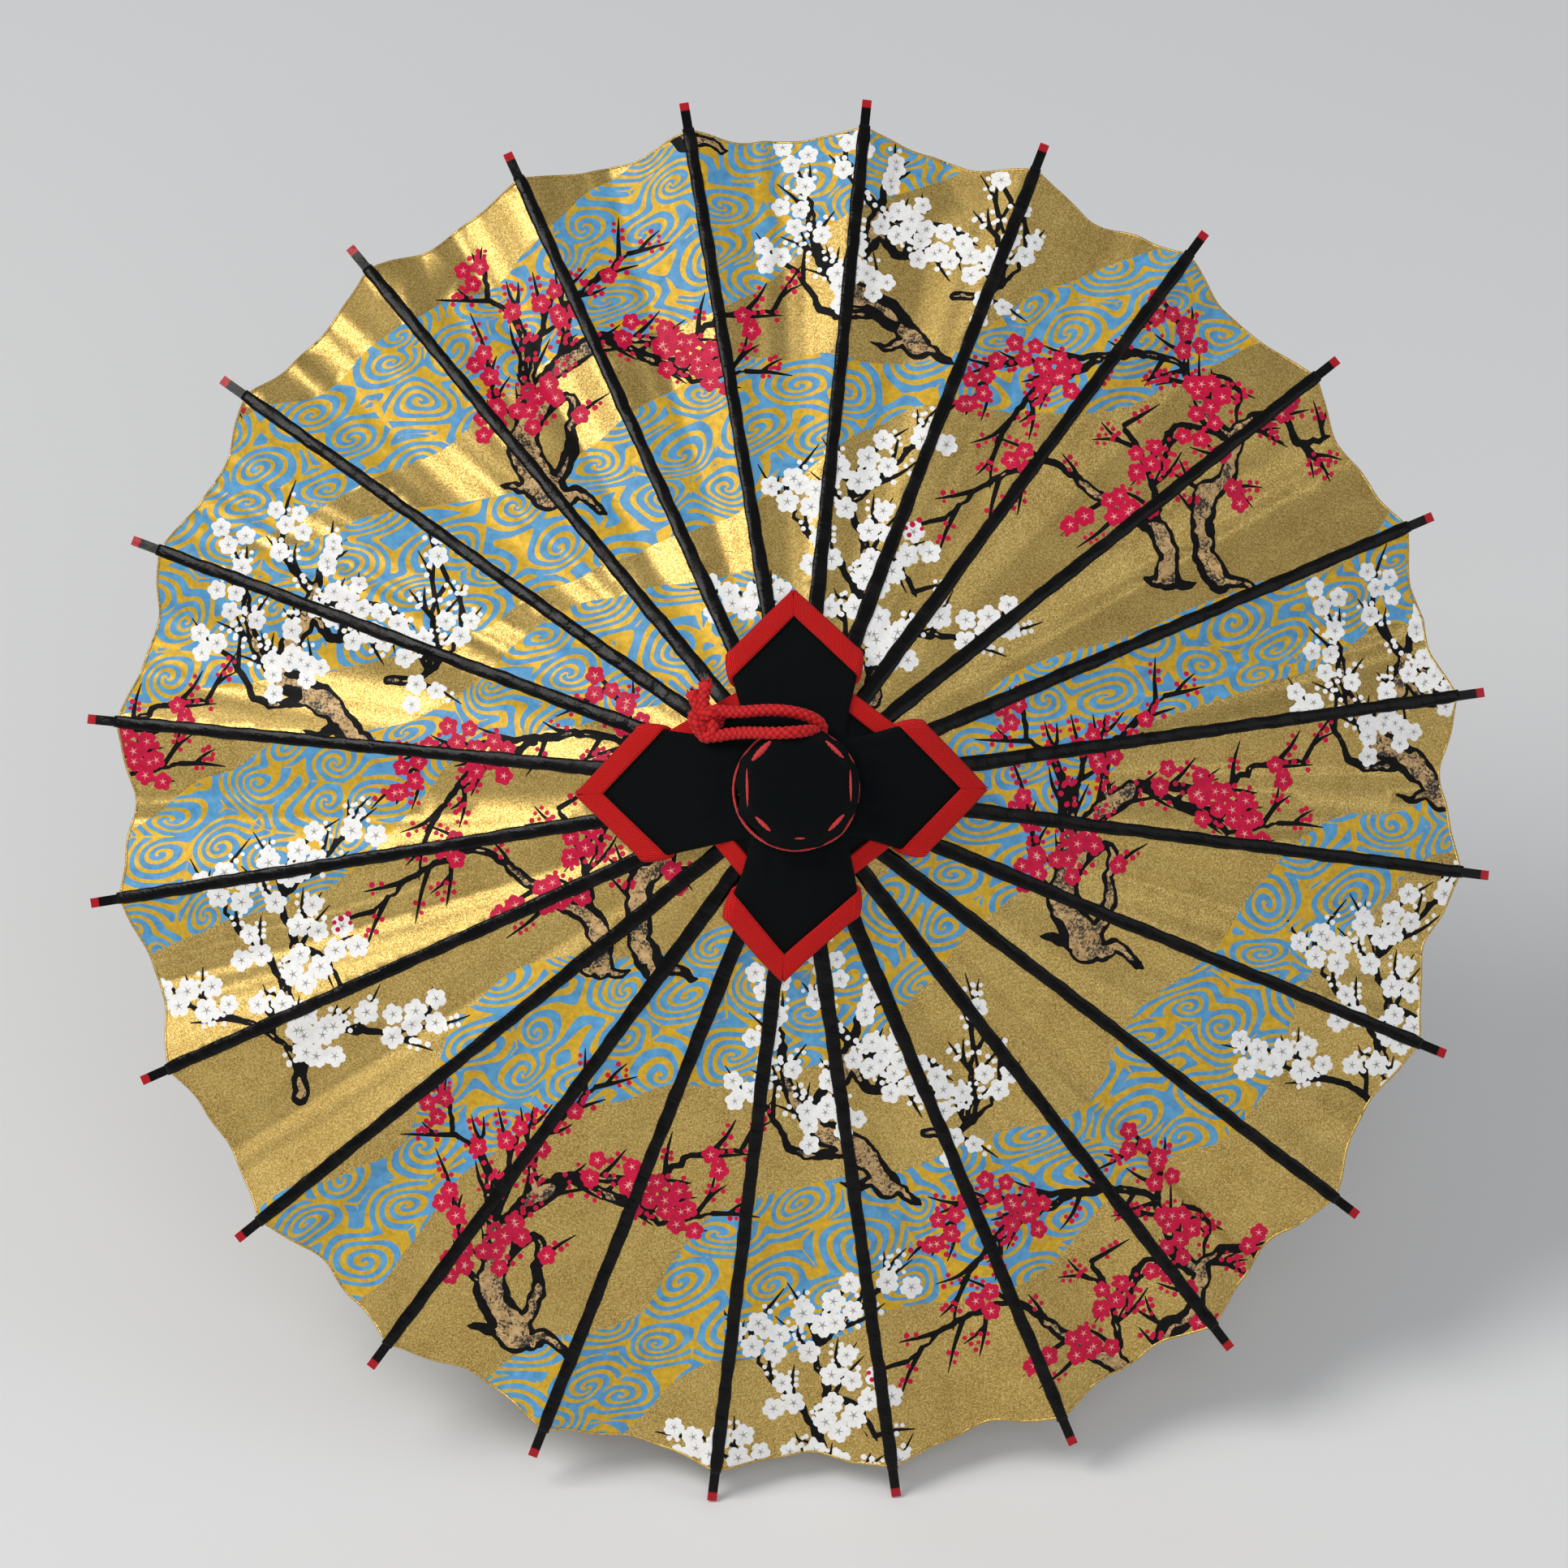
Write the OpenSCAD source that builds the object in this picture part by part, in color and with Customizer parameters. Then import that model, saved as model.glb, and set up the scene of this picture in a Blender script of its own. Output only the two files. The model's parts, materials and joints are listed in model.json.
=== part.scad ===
// Small oil paper umbrella (wagasa), open, resting on its handle end and its two lowest rib tips.
// Every sub-part is drawn along the umbrella's own axis, with the handle end at z = 0,
// and rest_pose() then tilts the whole umbrella onto the table at z = 0.

/* [Canopy] */
// Diameter across the rib tips when open
rim_d = 300; // [280:5:320]
// Angle between a rib and the shaft when open
open_angle = 70; // [66:1:74]
// Angle between a rib and the shaft when folded
closed_angle = 5; // [5:1:8]
// Bare rib beyond the paper's edge
bare_tip = 7.5; // [5:0.5:10]
// How far the paper sags between two ribs at the rim
paper_sag = 6; // [3:0.5:8]

/* [Ribs] */
// Height of the rib hinges above the handle end
head_u = 250; // [240:5:280]
// Radius of the ring of hinges in the head and in the runner
hinge_r = 9; // [8.8:0.1:10]
// Width of a rib over most of its length
rib_w = 2.5; // [2.2:0.1:2.5]
// Width of a rib beyond the paper
tip_w = 2; // [1.6:0.1:2.2]
// Thickness of a rib's root and of a stretcher
root_w = 1.1; // [0.9:0.1:1.1]
// Distance from the head hinge to the stretcher joint, and length of a stretcher
joint_s = 60; // [56:1:64]

/* [Shaft] */
// Radius of the shaft
shaft_r = 4; // [3.5:0.1:4]
// Radius of the rattan wrapping on the grip
wrap_r = 5; // [4.6:0.1:5.4]
// Radius of the end cap that rests on the table
cap_r = 4.6; // [4.5:0.1:5]

/* [Cloth cap] */
// Reach of the cloth's right, top, left and bottom corners from the axis
corner_reach = [39, 41, 45, 39];
// Half width of a corner flap
flap_half = 13; // [11:0.5:14]
// Width of the binding along the cloth's edge
binding_w = 3.8; // [3:0.2:4.5]

/* [Hidden] */
$fn = 64;
rib_count = 24;
pitch = 360 / rib_count;
first_rib = pitch / 2;
function two_digits(i) = str(i < 10 ? "0" : "", i);
function rib_name(i) = str("rib_", two_digits(i));
function stretcher_name(i) = str("stretcher_", two_digits(i));

// Rib section: height above and below the line through both of its pivots
rib_top = 2;
rib_root_half = 1.5;
rib_belly = 1.6;
tip_bottom = 0.4;
tip_top = 1.8;
root_end_s = 12;
full_width_s = 32;
rib_len = (rim_d / 2 - hinge_r - tip_top * cos(open_angle)) / sin(open_angle);
paper_s = rib_len - bare_tip;

// Pivots and slots
thread_r = 0.35;
thread_hole_r = 0.45;
pin_r = 0.3;
pin_hole_r = 0.38;
slot_gap = 0.15;
slot_bottom_r = 7;
stretcher_half = 1.1;
joint_slot_w = root_w + 0.2;
joint_slot_top = 1.2;
joint_slot_back = 4.2;
joint_slot_front = 19;

// Runner: its hinge ring, measured up from the handle end
runner_u = head_u - 2 * joint_s * cos(open_angle);
runner_travel = 2 * joint_s * (cos(closed_angle) - cos(open_angle));
runner_bottom_u = runner_u - 35;
flange_r = 11;
running_gap = 0.15;

// Catch
catch_top_u = runner_bottom_u - 0.3;
catch_len = 28;
catch_w = 2;
catch_pivot_r = 2.2;
catch_pin_r = 0.6;

// Rest pose: the lower corners of the two lowest tips and the end cap's edge touch the table
low_tip_r = hinge_r + rib_len * sin(open_angle) + tip_bottom * cos(open_angle);
low_tip_u = head_u - rib_len * cos(open_angle) + tip_bottom * sin(open_angle);
low_tip_drop = low_tip_r * cos(first_rib) + tip_w / 2 * sin(first_rib);
tilt = atan((low_tip_drop - cap_r) / low_tip_u);
high_tip_u = head_u - rib_len * cos(open_angle) + tip_top * sin(open_angle);
high_tip_drop = rim_d / 2 * cos(first_rib) + tip_w / 2 * sin(first_rib);
front_y = -high_tip_u * cos(tilt) - high_tip_drop * sin(tilt);
back_y = cap_r * sin(tilt);

module rest_pose() {
    translate([0, -(front_y + back_y) / 2, cap_r * cos(tilt)])
        rotate([90 - tilt, 0, 0])
            children();
}

function azimuth(i) = first_rib + (i - 1) * pitch;

// Puts a shape drawn along +X, with +Z as its outer face, on rib i
module on_rib(i) {
    rest_pose()
        rotate([0, 0, azimuth(i)])
            translate([hinge_r, 0, head_u])
                rotate([0, 90 - open_angle, 0])
                    children();
}

// Extrudes a side view (along X, up Z) to both sides of the XZ plane
module side_plate(width) {
    rotate([90, 0, 0])
        linear_extrude(width, center = true)
            children();
}

module cross_hole(radius, width) {
    rotate([90, 0, 0])
        cylinder(r = radius, h = width, center = true);
}

module rib_side() {
    circle(r = rib_root_half);
    polygon([
        [0, rib_root_half], [root_end_s, rib_top - 0.2], [full_width_s, rib_top],
        [paper_s, rib_top], [rib_len, tip_top], [rib_len, tip_bottom],
        [paper_s, tip_bottom - 0.1], [joint_s + 20, -rib_belly + 0.3],
        [joint_s - 10, -rib_belly], [0, -rib_root_half]]);
}

module rib_plan() {
    polygon([for (side = [1, -1], k = [0:5])
        let (n = side > 0 ? k : 5 - k)
            [[-2, root_end_s, full_width_s, paper_s, paper_s + 0.5, rib_len][n],
             side * [root_w, root_w, rib_w, rib_w, tip_w, tip_w][n] / 2]]);
}

module rib(i) {
    color("#1a1512")
        on_rib(i) {
            difference() {
                intersection() {
                    side_plate(2 * rib_w) rib_side();
                    translate([0, 0, -2 * rib_top])
                        linear_extrude(4 * rib_top) rib_plan();
                }
                cross_hole(thread_hole_r, 2 * rib_w);
                translate([joint_s, 0, 0]) {
                    cross_hole(pin_r, 2 * rib_w);
                    translate([-joint_slot_back, -joint_slot_w / 2, -2 * rib_top])
                        cube([joint_slot_back + joint_slot_front, joint_slot_w,
                              2 * rib_top + joint_slot_top]);
                }
            }
            translate([joint_s, 0, 0])
                cross_hole(pin_r, rib_w);
        }
}

module stretcher(i) {
    color("#c9a46a")
        on_rib(i)
            translate([joint_s, 0, 0])
                rotate([0, 2 * open_angle, 0])
                    difference() {
                        side_plate(root_w) {
                            circle(r = stretcher_half);
                            translate([0, -stretcher_half])
                                square([joint_s, 2 * stretcher_half]);
                            translate([joint_s, 0])
                                circle(r = stretcher_half);
                        }
                        cross_hole(pin_hole_r, 2 * root_w);
                        translate([joint_s, 0, 0])
                            cross_hole(thread_hole_r, 2 * root_w);
                    }
}

// Radial slots for the ribs' or stretchers' ends, through a flange around height z = 0
module hinge_slots(bottom, top) {
    slot_w = root_w + 2 * slot_gap;
    for (i = [1:rib_count])
        rotate([0, 0, azimuth(i)])
            translate([slot_bottom_r, -slot_w / 2, bottom])
                cube([flange_r, slot_w, top - bottom]);
}

module thread_ring(u) {
    color("#b9a27a")
        rest_pose()
            translate([0, 0, u])
                rotate_extrude()
                    translate([hinge_r, 0])
                        circle(r = thread_r, $fn = 24);
}

module head_hub() {
    color("#3a2a1c")
        rest_pose()
            translate([0, 0, head_u])
                difference() {
                    rotate_extrude()
                        polygon([
                            [0, -5], [7.4, -5], [8.4, -4], [flange_r, -4], [flange_r, 3],
                            [10, 3.6], [10, 5.6], [11.2, 6.6], [10.4, 12], [9.4, 14],
                            [7.6, 14.8], [0, 14.8]]);
                    translate([0, 0, -6])
                        cylinder(r = shaft_r, h = 14);
                    hinge_slots(-6, 2.8);
                }
}

module shaft() {
    color("#5b3a20")
        rest_pose()
            difference() {
                translate([0, 0, 3])
                    cylinder(r = shaft_r, h = head_u + 8 - 3);
                translate([-catch_w / 2 - running_gap, -1, catch_top_u - catch_len - 2])
                    cube([catch_w + 2 * running_gap, 2 * shaft_r, catch_len + 3]);
                translate([0, catch_pivot_r, catch_top_u - catch_len])
                    rotate([0, 90, 0])
                        cylinder(r = catch_pin_r + 0.05, h = 3 * shaft_r, center = true);
            }
}

module end_cap() {
    color("#15110e")
        rest_pose()
            difference() {
                rotate_extrude()
                    polygon([
                        [0, 0], [cap_r, 0], [cap_r, 11], [cap_r - 0.3, 12], [0, 12]]);
                translate([0, 0, 3])
                    cylinder(r = shaft_r, h = 12);
            }
}

module grip_wrap() {
    color("#c8a25c")
        rest_pose()
            translate([0, 0, 14])
                difference() {
                    cylinder(r = wrap_r, h = 60);
                    translate([0, 0, -1])
                        cylinder(r = shaft_r, h = 62);
                }
}

module runner() {
    color("#3a2a1c")
        rest_pose()
            translate([0, 0, runner_u])
                difference() {
                    rotate_extrude()
                        polygon([
                            [0, 6], [6, 6], [6.8, 5.2], [6.8, 3], [flange_r - 0.6, 3],
                            [flange_r, 2.4], [flange_r, -2.4], [flange_r - 0.6, -3],
                            [6.8, -3], [6.8, -20], [8.2, -21.5], [9.2, -24], [9.4, -27],
                            [9, -30], [8, -32.4], [7.2, -33.4], [6.6, -35], [0, -35]]);
                    translate([0, 0, -36])
                        cylinder(r = shaft_r + running_gap, h = 43);
                    hinge_slots(-4, 4);
                }
}

// A sprung leaf in the shaft's slot: it turns on its foot, and its shoulder holds the runner up
module catch() {
    color("#b8923a")
        rest_pose()
            translate([0, 0, catch_top_u - catch_len]) {
                rotate([90, 0, 90])
                    linear_extrude(catch_w, center = true)
                        polygon([
                            [catch_pivot_r - 0.9, -1], [catch_pivot_r + 0.9, -1],
                            [catch_pivot_r + 1.2, 14], [5.7, catch_len - 1.5],
                            [5.7, catch_len], [catch_pivot_r - 0.6, catch_len]]);
                translate([0, catch_pivot_r, 0])
                    rotate([0, 90, 0])
                        cylinder(r = catch_pin_r, h = 6, center = true);
            }
}

// Paper: a thin closed shell a little above the ribs, sagging between them
paper_gap = 0.35;
paper_t = 0.3;
paper_start_s = 4.5;
glued_half = rib_w / 2 + 0.3;
paper_rings = 6;
gore_steps = 4;

// A point of rib i's own plane, s along it, n above its pivot line and t to its side
function rib_point(i, s, n, t) =
    let (r = hinge_r + s * sin(open_angle) + n * cos(open_angle),
         u = head_u - s * cos(open_angle) + n * sin(open_angle),
         a = azimuth(i))
    [r * cos(a) - t * sin(a), r * sin(a) + t * cos(a), u];

// A point of the gore between rib i and the next one, at the share f of the way across
function gore_point(i, f, s, n) =
    let (glued = min(glued_half, (hinge_r + s * sin(open_angle)) * sin(first_rib) * 0.6),
         near = rib_point(i, s, n, glued),
         far = rib_point(i + 1, s, n, -glued),
         sag = paper_sag * pow(s / paper_s, 1.5) * sin(180 * f),
         a = azimuth(i) + first_rib)
    near + (far - near) * f
        - sag * [cos(open_angle) * cos(a), cos(open_angle) * sin(a), sin(open_angle)];

function paper_s_at(ring) =
    paper_start_s + (paper_s - paper_start_s) * ring / (paper_rings - 1);

module canopy() {
    around = rib_count * (gore_steps + 1);
    layer = around * paper_rings;
    points = [for (side = [0, 1], ring = [0:paper_rings - 1], i = [1:rib_count],
                   step = [0:gore_steps])
        gore_point(i, step / gore_steps, paper_s_at(ring),
                   rib_top + paper_gap + side * paper_t)];
    function at(side, ring, k) = side * layer + ring * around + k % around;
    faces = [for (k = [0:around - 1]) each concat(
        [for (ring = [0:paper_rings - 2]) each [
            [at(0, ring, k), at(0, ring + 1, k), at(0, ring + 1, k + 1)],
            [at(0, ring, k), at(0, ring + 1, k + 1), at(0, ring, k + 1)],
            [at(1, ring, k), at(1, ring + 1, k + 1), at(1, ring + 1, k)],
            [at(1, ring, k), at(1, ring, k + 1), at(1, ring + 1, k + 1)]]],
        [for (ring = [0, paper_rings - 1])
            let (loop = [at(0, ring, k), at(0, ring, k + 1), at(1, ring, k + 1),
                         at(1, ring, k)])
            each ring == 0
                ? [[loop[0], loop[1], loop[2]], [loop[0], loop[2], loop[3]]]
                : [[loop[0], loop[2], loop[1]], [loop[0], loop[3], loop[2]]]])];
    color("#c9a961")
        rest_pose()
            polyhedron(points, faces);
}

// Cloth cap: a skirt on the paper, four pointed corner flaps and the cover of the knob
cloth_t = 0.7;
skirt_n = rib_top + paper_gap + paper_t + 0.3;
skirt_r = 24;
neck_u = 5;
knob_top = 15.9;
function cone_z(r, n) = n / sin(open_angle) - (r - hinge_r) / tan(open_angle);

module flap_outline(reach, inset) {
    shoulder = reach - flap_half;
    polygon([
        [10, flap_half - 1 - inset], [shoulder - inset * 0.4, flap_half - inset],
        [reach - inset * 1.42, 0], [shoulder - inset * 0.4, inset - flap_half],
        [10, inset + 1 - flap_half]]);
}

module on_flap(side, n) {
    rotate([0, 0, 90 * side])
        translate([hinge_r, 0, 0])
            rotate([0, 90 - open_angle, 0])
                translate([-hinge_r, 0, n])
                    children();
}

module cap_cloth() {
    color("#0f1214")
        rest_pose()
            translate([0, 0, head_u]) {
                rotate_extrude()
                    polygon([
                        [0, knob_top], [8.4, knob_top], [10.2, 14.8], [11.1, 12.6],
                        [12.2, 6.8], [11.2, neck_u], [skirt_r, cone_z(skirt_r, skirt_n + 1.2)],
                        [skirt_r, cone_z(skirt_r, skirt_n)], [11.6, cone_z(11.6, skirt_n)],
                        [10.4, neck_u], [11.5, 6.6], [10.6, 12.2], [9.5, 14.3],
                        [7.8, 15.1], [0, 15.1]]);
                for (side = [0:3])
                    on_flap(side, skirt_n + 0.6)
                        linear_extrude(cloth_t) flap_outline(corner_reach[side], 0);
            }
}

// Red binding on the flaps and between them, the tie round the neck and the knob's stitches
module cap_trim() {
    stitch_r = 10.75;
    binding_t = 0.4;
    band_w = binding_w - 1;
    band_inner = 2.5;
    band_outer = 5;
    band_lift = 1.9;
    color("#b3151b")
        rest_pose()
            translate([0, 0, head_u]) {
                for (side = [0:3]) {
                    on_flap(side, skirt_n + 0.6 + cloth_t)
                        linear_extrude(binding_t)
                            difference() {
                                flap_outline(corner_reach[side], 0);
                                flap_outline(corner_reach[side], binding_w);
                                translate([0, -flap_half])
                                    square([corner_reach[side] - flap_half - 1,
                                            2 * flap_half]);
                            }
                    rotate([0, 0, 90 * side + 45])
                        translate([skirt_r - binding_w, 0, cone_z(skirt_r, skirt_n + 1.2)])
                            rotate([0, 90 - open_angle, 0])
                                translate([0.5, 0, band_lift])
                                    linear_extrude(binding_t)
                                        polygon([[0, -band_inner], [band_w, -band_outer],
                                                 [band_w, band_outer], [0, band_inner]]);
                }
                translate([0, 0, neck_u + 0.1])
                    rotate_extrude()
                        translate([12.5, 0])
                            circle(r = 0.45, $fn = 24);
                for (k = [0:7])
                    rotate([0, 0, 45 * k + 22.5])
                        translate([stitch_r + 0.3, 0, 14])
                            rotate([90, 0, 0])
                                cylinder(r = 0.4, h = 5, center = true, $fn = 24);
            }
}

// Hanging cord: a loop out of the knob's side whose two strands meet in a knot, then two tails.
// Route along the umbrella's axes, heights above the head hinges: out along the upper strand,
// round inside the knot, and back along the lower one.
cord_d = 2.5;
cord_route = [
    [5, 11, 8], [5, 12.5, 9], [4, 13.6, 10.2], [2, 14.6, 11.2], [-1, 15.4, 11.6],
    [-4, 15.8, 11.2], [-7, 15.9, 10.2], [-10, 15.8, 8.8], [-13, 15.8, 7.2], [-16, 16.2, 5.8],
    [-19, 16, 5], [-20.6, 14, 4.8], [-19.6, 11.8, 5], [-17, 11, 5.8], [-14, 11.3, 7.4],
    [-11, 11.4, 9.8], [-8, 11.2, 12.6], [-5, 11, 14.8], [-2, 11, 15.8], [0.6, 11.2, 15],
    [2.6, 11.4, 13], [3.6, 11.2, 10.8], [3.4, 10.4, 9]];
knot_at = [-18.4, 13.8, 4.9];
tails = [[[-18.6, 15, 4.8], [-18.6, 21.6, 3.6]], [[-18.6, 15, 4.8], [-21, 19.8, 2.8]]];

function unit(v) = v / norm(v);
function travel(pts, k) =
    unit(pts[min(k + 1, len(pts) - 1)] - pts[max(k - 1, 0)]);
function across(dir) = unit(cross(dir, [0.1, 0.2, 1]));

module tube(pts, radius, sides = 8) {
    last = len(pts) - 1;
    points = [for (k = [0:last], j = [0:sides - 1])
        let (dir = travel(pts, k), a = across(dir), b = cross(a, dir), w = 360 * j / sides)
        pts[k] + radius * (cos(w) * a + sin(w) * b)];
    faces = concat(
        [[for (j = [sides - 1:-1:0]) j]],
        [for (k = [0:last - 1], j = [0:sides - 1])
            [k * sides + j, k * sides + (j + 1) % sides,
             (k + 1) * sides + (j + 1) % sides, (k + 1) * sides + j]],
        [[for (j = [0:sides - 1]) last * sides + j]]);
    polyhedron(points, faces);
}

module hanging_cord() {
    color("#c81a20")
        rest_pose()
            translate([0, 0, head_u]) {
                tube(cord_route, cord_d / 2);
                translate(knot_at)
                    scale([1.1, 1.1, 0.9])
                        sphere(r = 3.6, $fn = 20);
                for (tail = tails)
                    tube(tail, cord_d / 2);
            }
}

shaft();
end_cap();
grip_wrap();
head_hub();
thread_ring(head_u);  // head_thread
runner();
thread_ring(runner_u);  // runner_thread
catch();
canopy();
cap_cloth();
cap_trim();
hanging_cord();
for (i = [1:rib_count]) {
    rib(i);
    stretcher(i);
}
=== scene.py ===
"""Looks of a small oil paper umbrella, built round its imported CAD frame.

Shapes are worked out in the umbrella's own millimetres: x across, y up in the plane of the rim,
z along the shaft from the rib hinges towards the knob. place() turns them into the row frame.
"""

import json
import math

import bpy
import numpy as np
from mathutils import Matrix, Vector
from mathutils.geometry import delaunay_2d_cdt


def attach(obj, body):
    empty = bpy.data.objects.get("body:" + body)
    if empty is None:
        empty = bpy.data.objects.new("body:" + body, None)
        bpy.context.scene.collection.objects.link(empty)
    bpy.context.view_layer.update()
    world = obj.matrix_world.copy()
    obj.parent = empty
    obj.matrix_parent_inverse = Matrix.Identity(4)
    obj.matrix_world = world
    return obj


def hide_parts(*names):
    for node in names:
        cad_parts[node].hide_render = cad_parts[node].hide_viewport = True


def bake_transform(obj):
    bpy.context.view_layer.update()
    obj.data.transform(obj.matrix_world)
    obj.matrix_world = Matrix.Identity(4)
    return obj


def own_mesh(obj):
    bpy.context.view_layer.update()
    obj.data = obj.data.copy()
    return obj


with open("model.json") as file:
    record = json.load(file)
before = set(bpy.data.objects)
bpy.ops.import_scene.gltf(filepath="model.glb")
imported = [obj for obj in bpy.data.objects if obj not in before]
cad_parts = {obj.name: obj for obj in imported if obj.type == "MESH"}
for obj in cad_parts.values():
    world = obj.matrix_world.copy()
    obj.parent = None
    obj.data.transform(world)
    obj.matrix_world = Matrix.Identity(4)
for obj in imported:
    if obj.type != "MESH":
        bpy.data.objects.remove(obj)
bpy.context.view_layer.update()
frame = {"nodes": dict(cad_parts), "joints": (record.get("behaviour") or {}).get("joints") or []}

# ---------------------------------------------------------------- the umbrella's own axes
MM = 0.001
joints = {j["name"]: j for j in frame["joints"]}
RIBS = range(1, sum(name.startswith("rib_fold") for name in joints) + 1)
PITCH = 360 / len(RIBS)
HALF_PITCH = math.radians(PITCH / 2)
AXIS = -Vector(joints["runner_slide"]["axis"]).normalized()
ACROSS = Vector((1, 0, 0))
UP = AXIS.cross(ACROSS)
BASIS = np.array([ACROSS, UP, AXIS])
HEAD = np.mean([joints[f"rib_fold_{i:02d}"]["pos_m"] for i in RIBS], axis=0)


def place(points):
    """Umbrella millimetres to row-frame metres."""
    return np.asarray(points, float) @ BASIS * MM + HEAD


def local(points):
    """Row-frame metres to umbrella millimetres."""
    return (np.asarray(points, float) - HEAD) @ BASIS.T / MM


def node_points(node):
    return local([v.co for v in frame["nodes"][node].data.vertices])


def azimuth(i):
    """Direction of rib i round the shaft, in degrees."""
    return PITCH / 2 + (i - 1) * PITCH


hinge = local(joints["rib_fold_01"]["pos_m"])
elbow = local(joints["stretcher_fold_01"]["pos_m"])
HINGE_R = math.hypot(hinge[0], hinge[1])
JOINT_S = float(np.linalg.norm(elbow - hinge))
OPEN = math.acos(-(elbow - hinge)[2] / JOINT_S)
SIN, COS = math.sin(OPEN), math.cos(OPEN)
RIM_R = float(np.hypot(*node_points("rib_01")[:, :2].T).max())
PAPER_R = float(np.hypot(*node_points("canopy")[:, :2].T).max())
PAPER_N = 2.65  # the paper's top face above the line of the rib's pivots
PAPER_S = (PAPER_R - HINGE_R - PAPER_N * COS) / SIN
SHAFT_R = 4.0


def cone_z(r, n):
    """Height at radius r of the cone that lies n above the ribs' pivot lines."""
    return n / SIN - (r - HINGE_R) * COS / SIN


def polar(r, turn, z):
    """Points at radius r, turn radians round the shaft, and height z."""
    return np.stack(np.broadcast_arrays(r * np.cos(turn), r * np.sin(turn), z), -1)


def rib_points(i, s, n, t):
    """Points s along rib i, n above its pivot line and t to its side."""
    r = HINGE_R + s * SIN + n * COS
    a = math.radians(azimuth(i))
    return np.stack([r * math.cos(a) - t * math.sin(a), r * math.sin(a) + t * math.cos(a),
                     n * SIN - s * COS], axis=-1)


# ---------------------------------------------------------------- camera, light and floor
CAMERA_AZIMUTH, CAMERA_ELEVATION = math.radians(-2), math.radians(33.75)
CAMERA_DISTANCE = 1.5
RIM_SHARE = 0.8986  # share of the frame's width that the rib tips span
AIM = (-0.0012, 0.0029)  # the view's centre right of and above the rim's, in metres


def make_camera():
    back = Vector((math.sin(CAMERA_AZIMUTH) * math.cos(CAMERA_ELEVATION),
                   -math.cos(CAMERA_AZIMUTH) * math.cos(CAMERA_ELEVATION),
                   math.sin(CAMERA_ELEVATION)))
    turn = (-back).to_track_quat("-Z", "Y")
    rim_z = node_points("rib_01")[:, 2].min()
    centre = Vector(place((0, 0, rim_z))) + turn @ Vector((AIM[0], AIM[1], 0))
    data = bpy.data.cameras.new("camera")
    camera = bpy.data.objects.new("camera", data)
    bpy.context.scene.collection.objects.link(camera)
    camera.location = centre + back * CAMERA_DISTANCE
    camera.rotation_mode = "QUATERNION"
    camera.rotation_quaternion = turn
    data.lens = data.sensor_width * CAMERA_DISTANCE / (2 * RIM_R * MM / RIM_SHARE)
    bpy.context.scene.camera = camera


def soft_light(name, location, size, watts, colour):
    data = bpy.data.lights.new(name, "AREA")
    data.shape, data.size, data.energy, data.color = "DISK", size, watts, colour
    light = bpy.data.objects.new(name, data)
    bpy.context.scene.collection.objects.link(light)
    light.location = location
    light.rotation_euler = (-Vector(location)).to_track_quat("-Z", "Y").to_euler()


def make_studio():
    soft_light("key", (-1.3, -0.5, 1.8), 1.2, 25, (1, 0.98, 0.95))
    soft_light("front", (0.2, -1.9, 1.5), 1.3, 9, (1, 1, 1))
    soft_light("fill", (1.6, -0.8, 1.0), 1.2, 3, (0.93, 0.96, 1))
    world = bpy.data.worlds.new("studio")
    world.use_nodes = True
    sky = world.node_tree.nodes["Background"].inputs
    sky["Color"].default_value, sky["Strength"].default_value = (0.9, 0.93, 1, 1), 0.38
    bpy.context.scene.world = world
    bpy.context.scene.view_settings.view_transform = "Standard"
    bpy.ops.mesh.primitive_plane_add(size=40)
    floor = bpy.context.object
    floor.name = "floor"
    look = new_look("floor", roughness=0.7)
    shade = node(look, "TexNoise", {"Scale": 40.0, "Detail": 4.0})
    plug(look, ramp(look, shade, (0, (0.80, 0.80, 0.79)), (1, (0.85, 0.85, 0.84))),
         look.node_tree.nodes["Principled BSDF"].inputs["Base Color"])
    floor.data.materials.append(look)


# ---------------------------------------------------------------- mesh helpers
def curve(points, step):
    """A smooth curve through the points, sampled about every step."""
    p = np.array(points, float)
    ends = np.vstack([2 * p[0] - p[1], p, 2 * p[-1] - p[-2]])
    parts = []
    for a, b, c, d in zip(ends, ends[1:], ends[2:], ends[3:]):
        count = max(2, int(np.linalg.norm(c - b) / step))
        t = np.arange(count)[:, None] / count
        parts.append(0.5 * (2 * b + (c - a) * t + (2 * a - 5 * b + 4 * c - d) * t ** 2
                            + (3 * b - a - 3 * c + d) * t ** 3))
    return np.vstack(parts + [p[-1:]])


def smooth(x, low, high):
    """0 below low, 1 above high, and a smooth rise between them."""
    t = np.clip((np.asarray(x, float) - low) / (high - low), 0, 1)
    return t * t * (3 - 2 * t)


def wobble(x, seed):
    """Smooth one-dimensional noise from about -1 to 1."""
    rng = np.random.RandomState(seed)
    return sum(np.sin(x * wave * rng.uniform(0.8, 1.25) + rng.uniform(0, 7))
               for wave in (0.9, 0.47, 0.23)) / 2


NOISE_CELLS = 64  # cells after which the noise repeats


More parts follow.
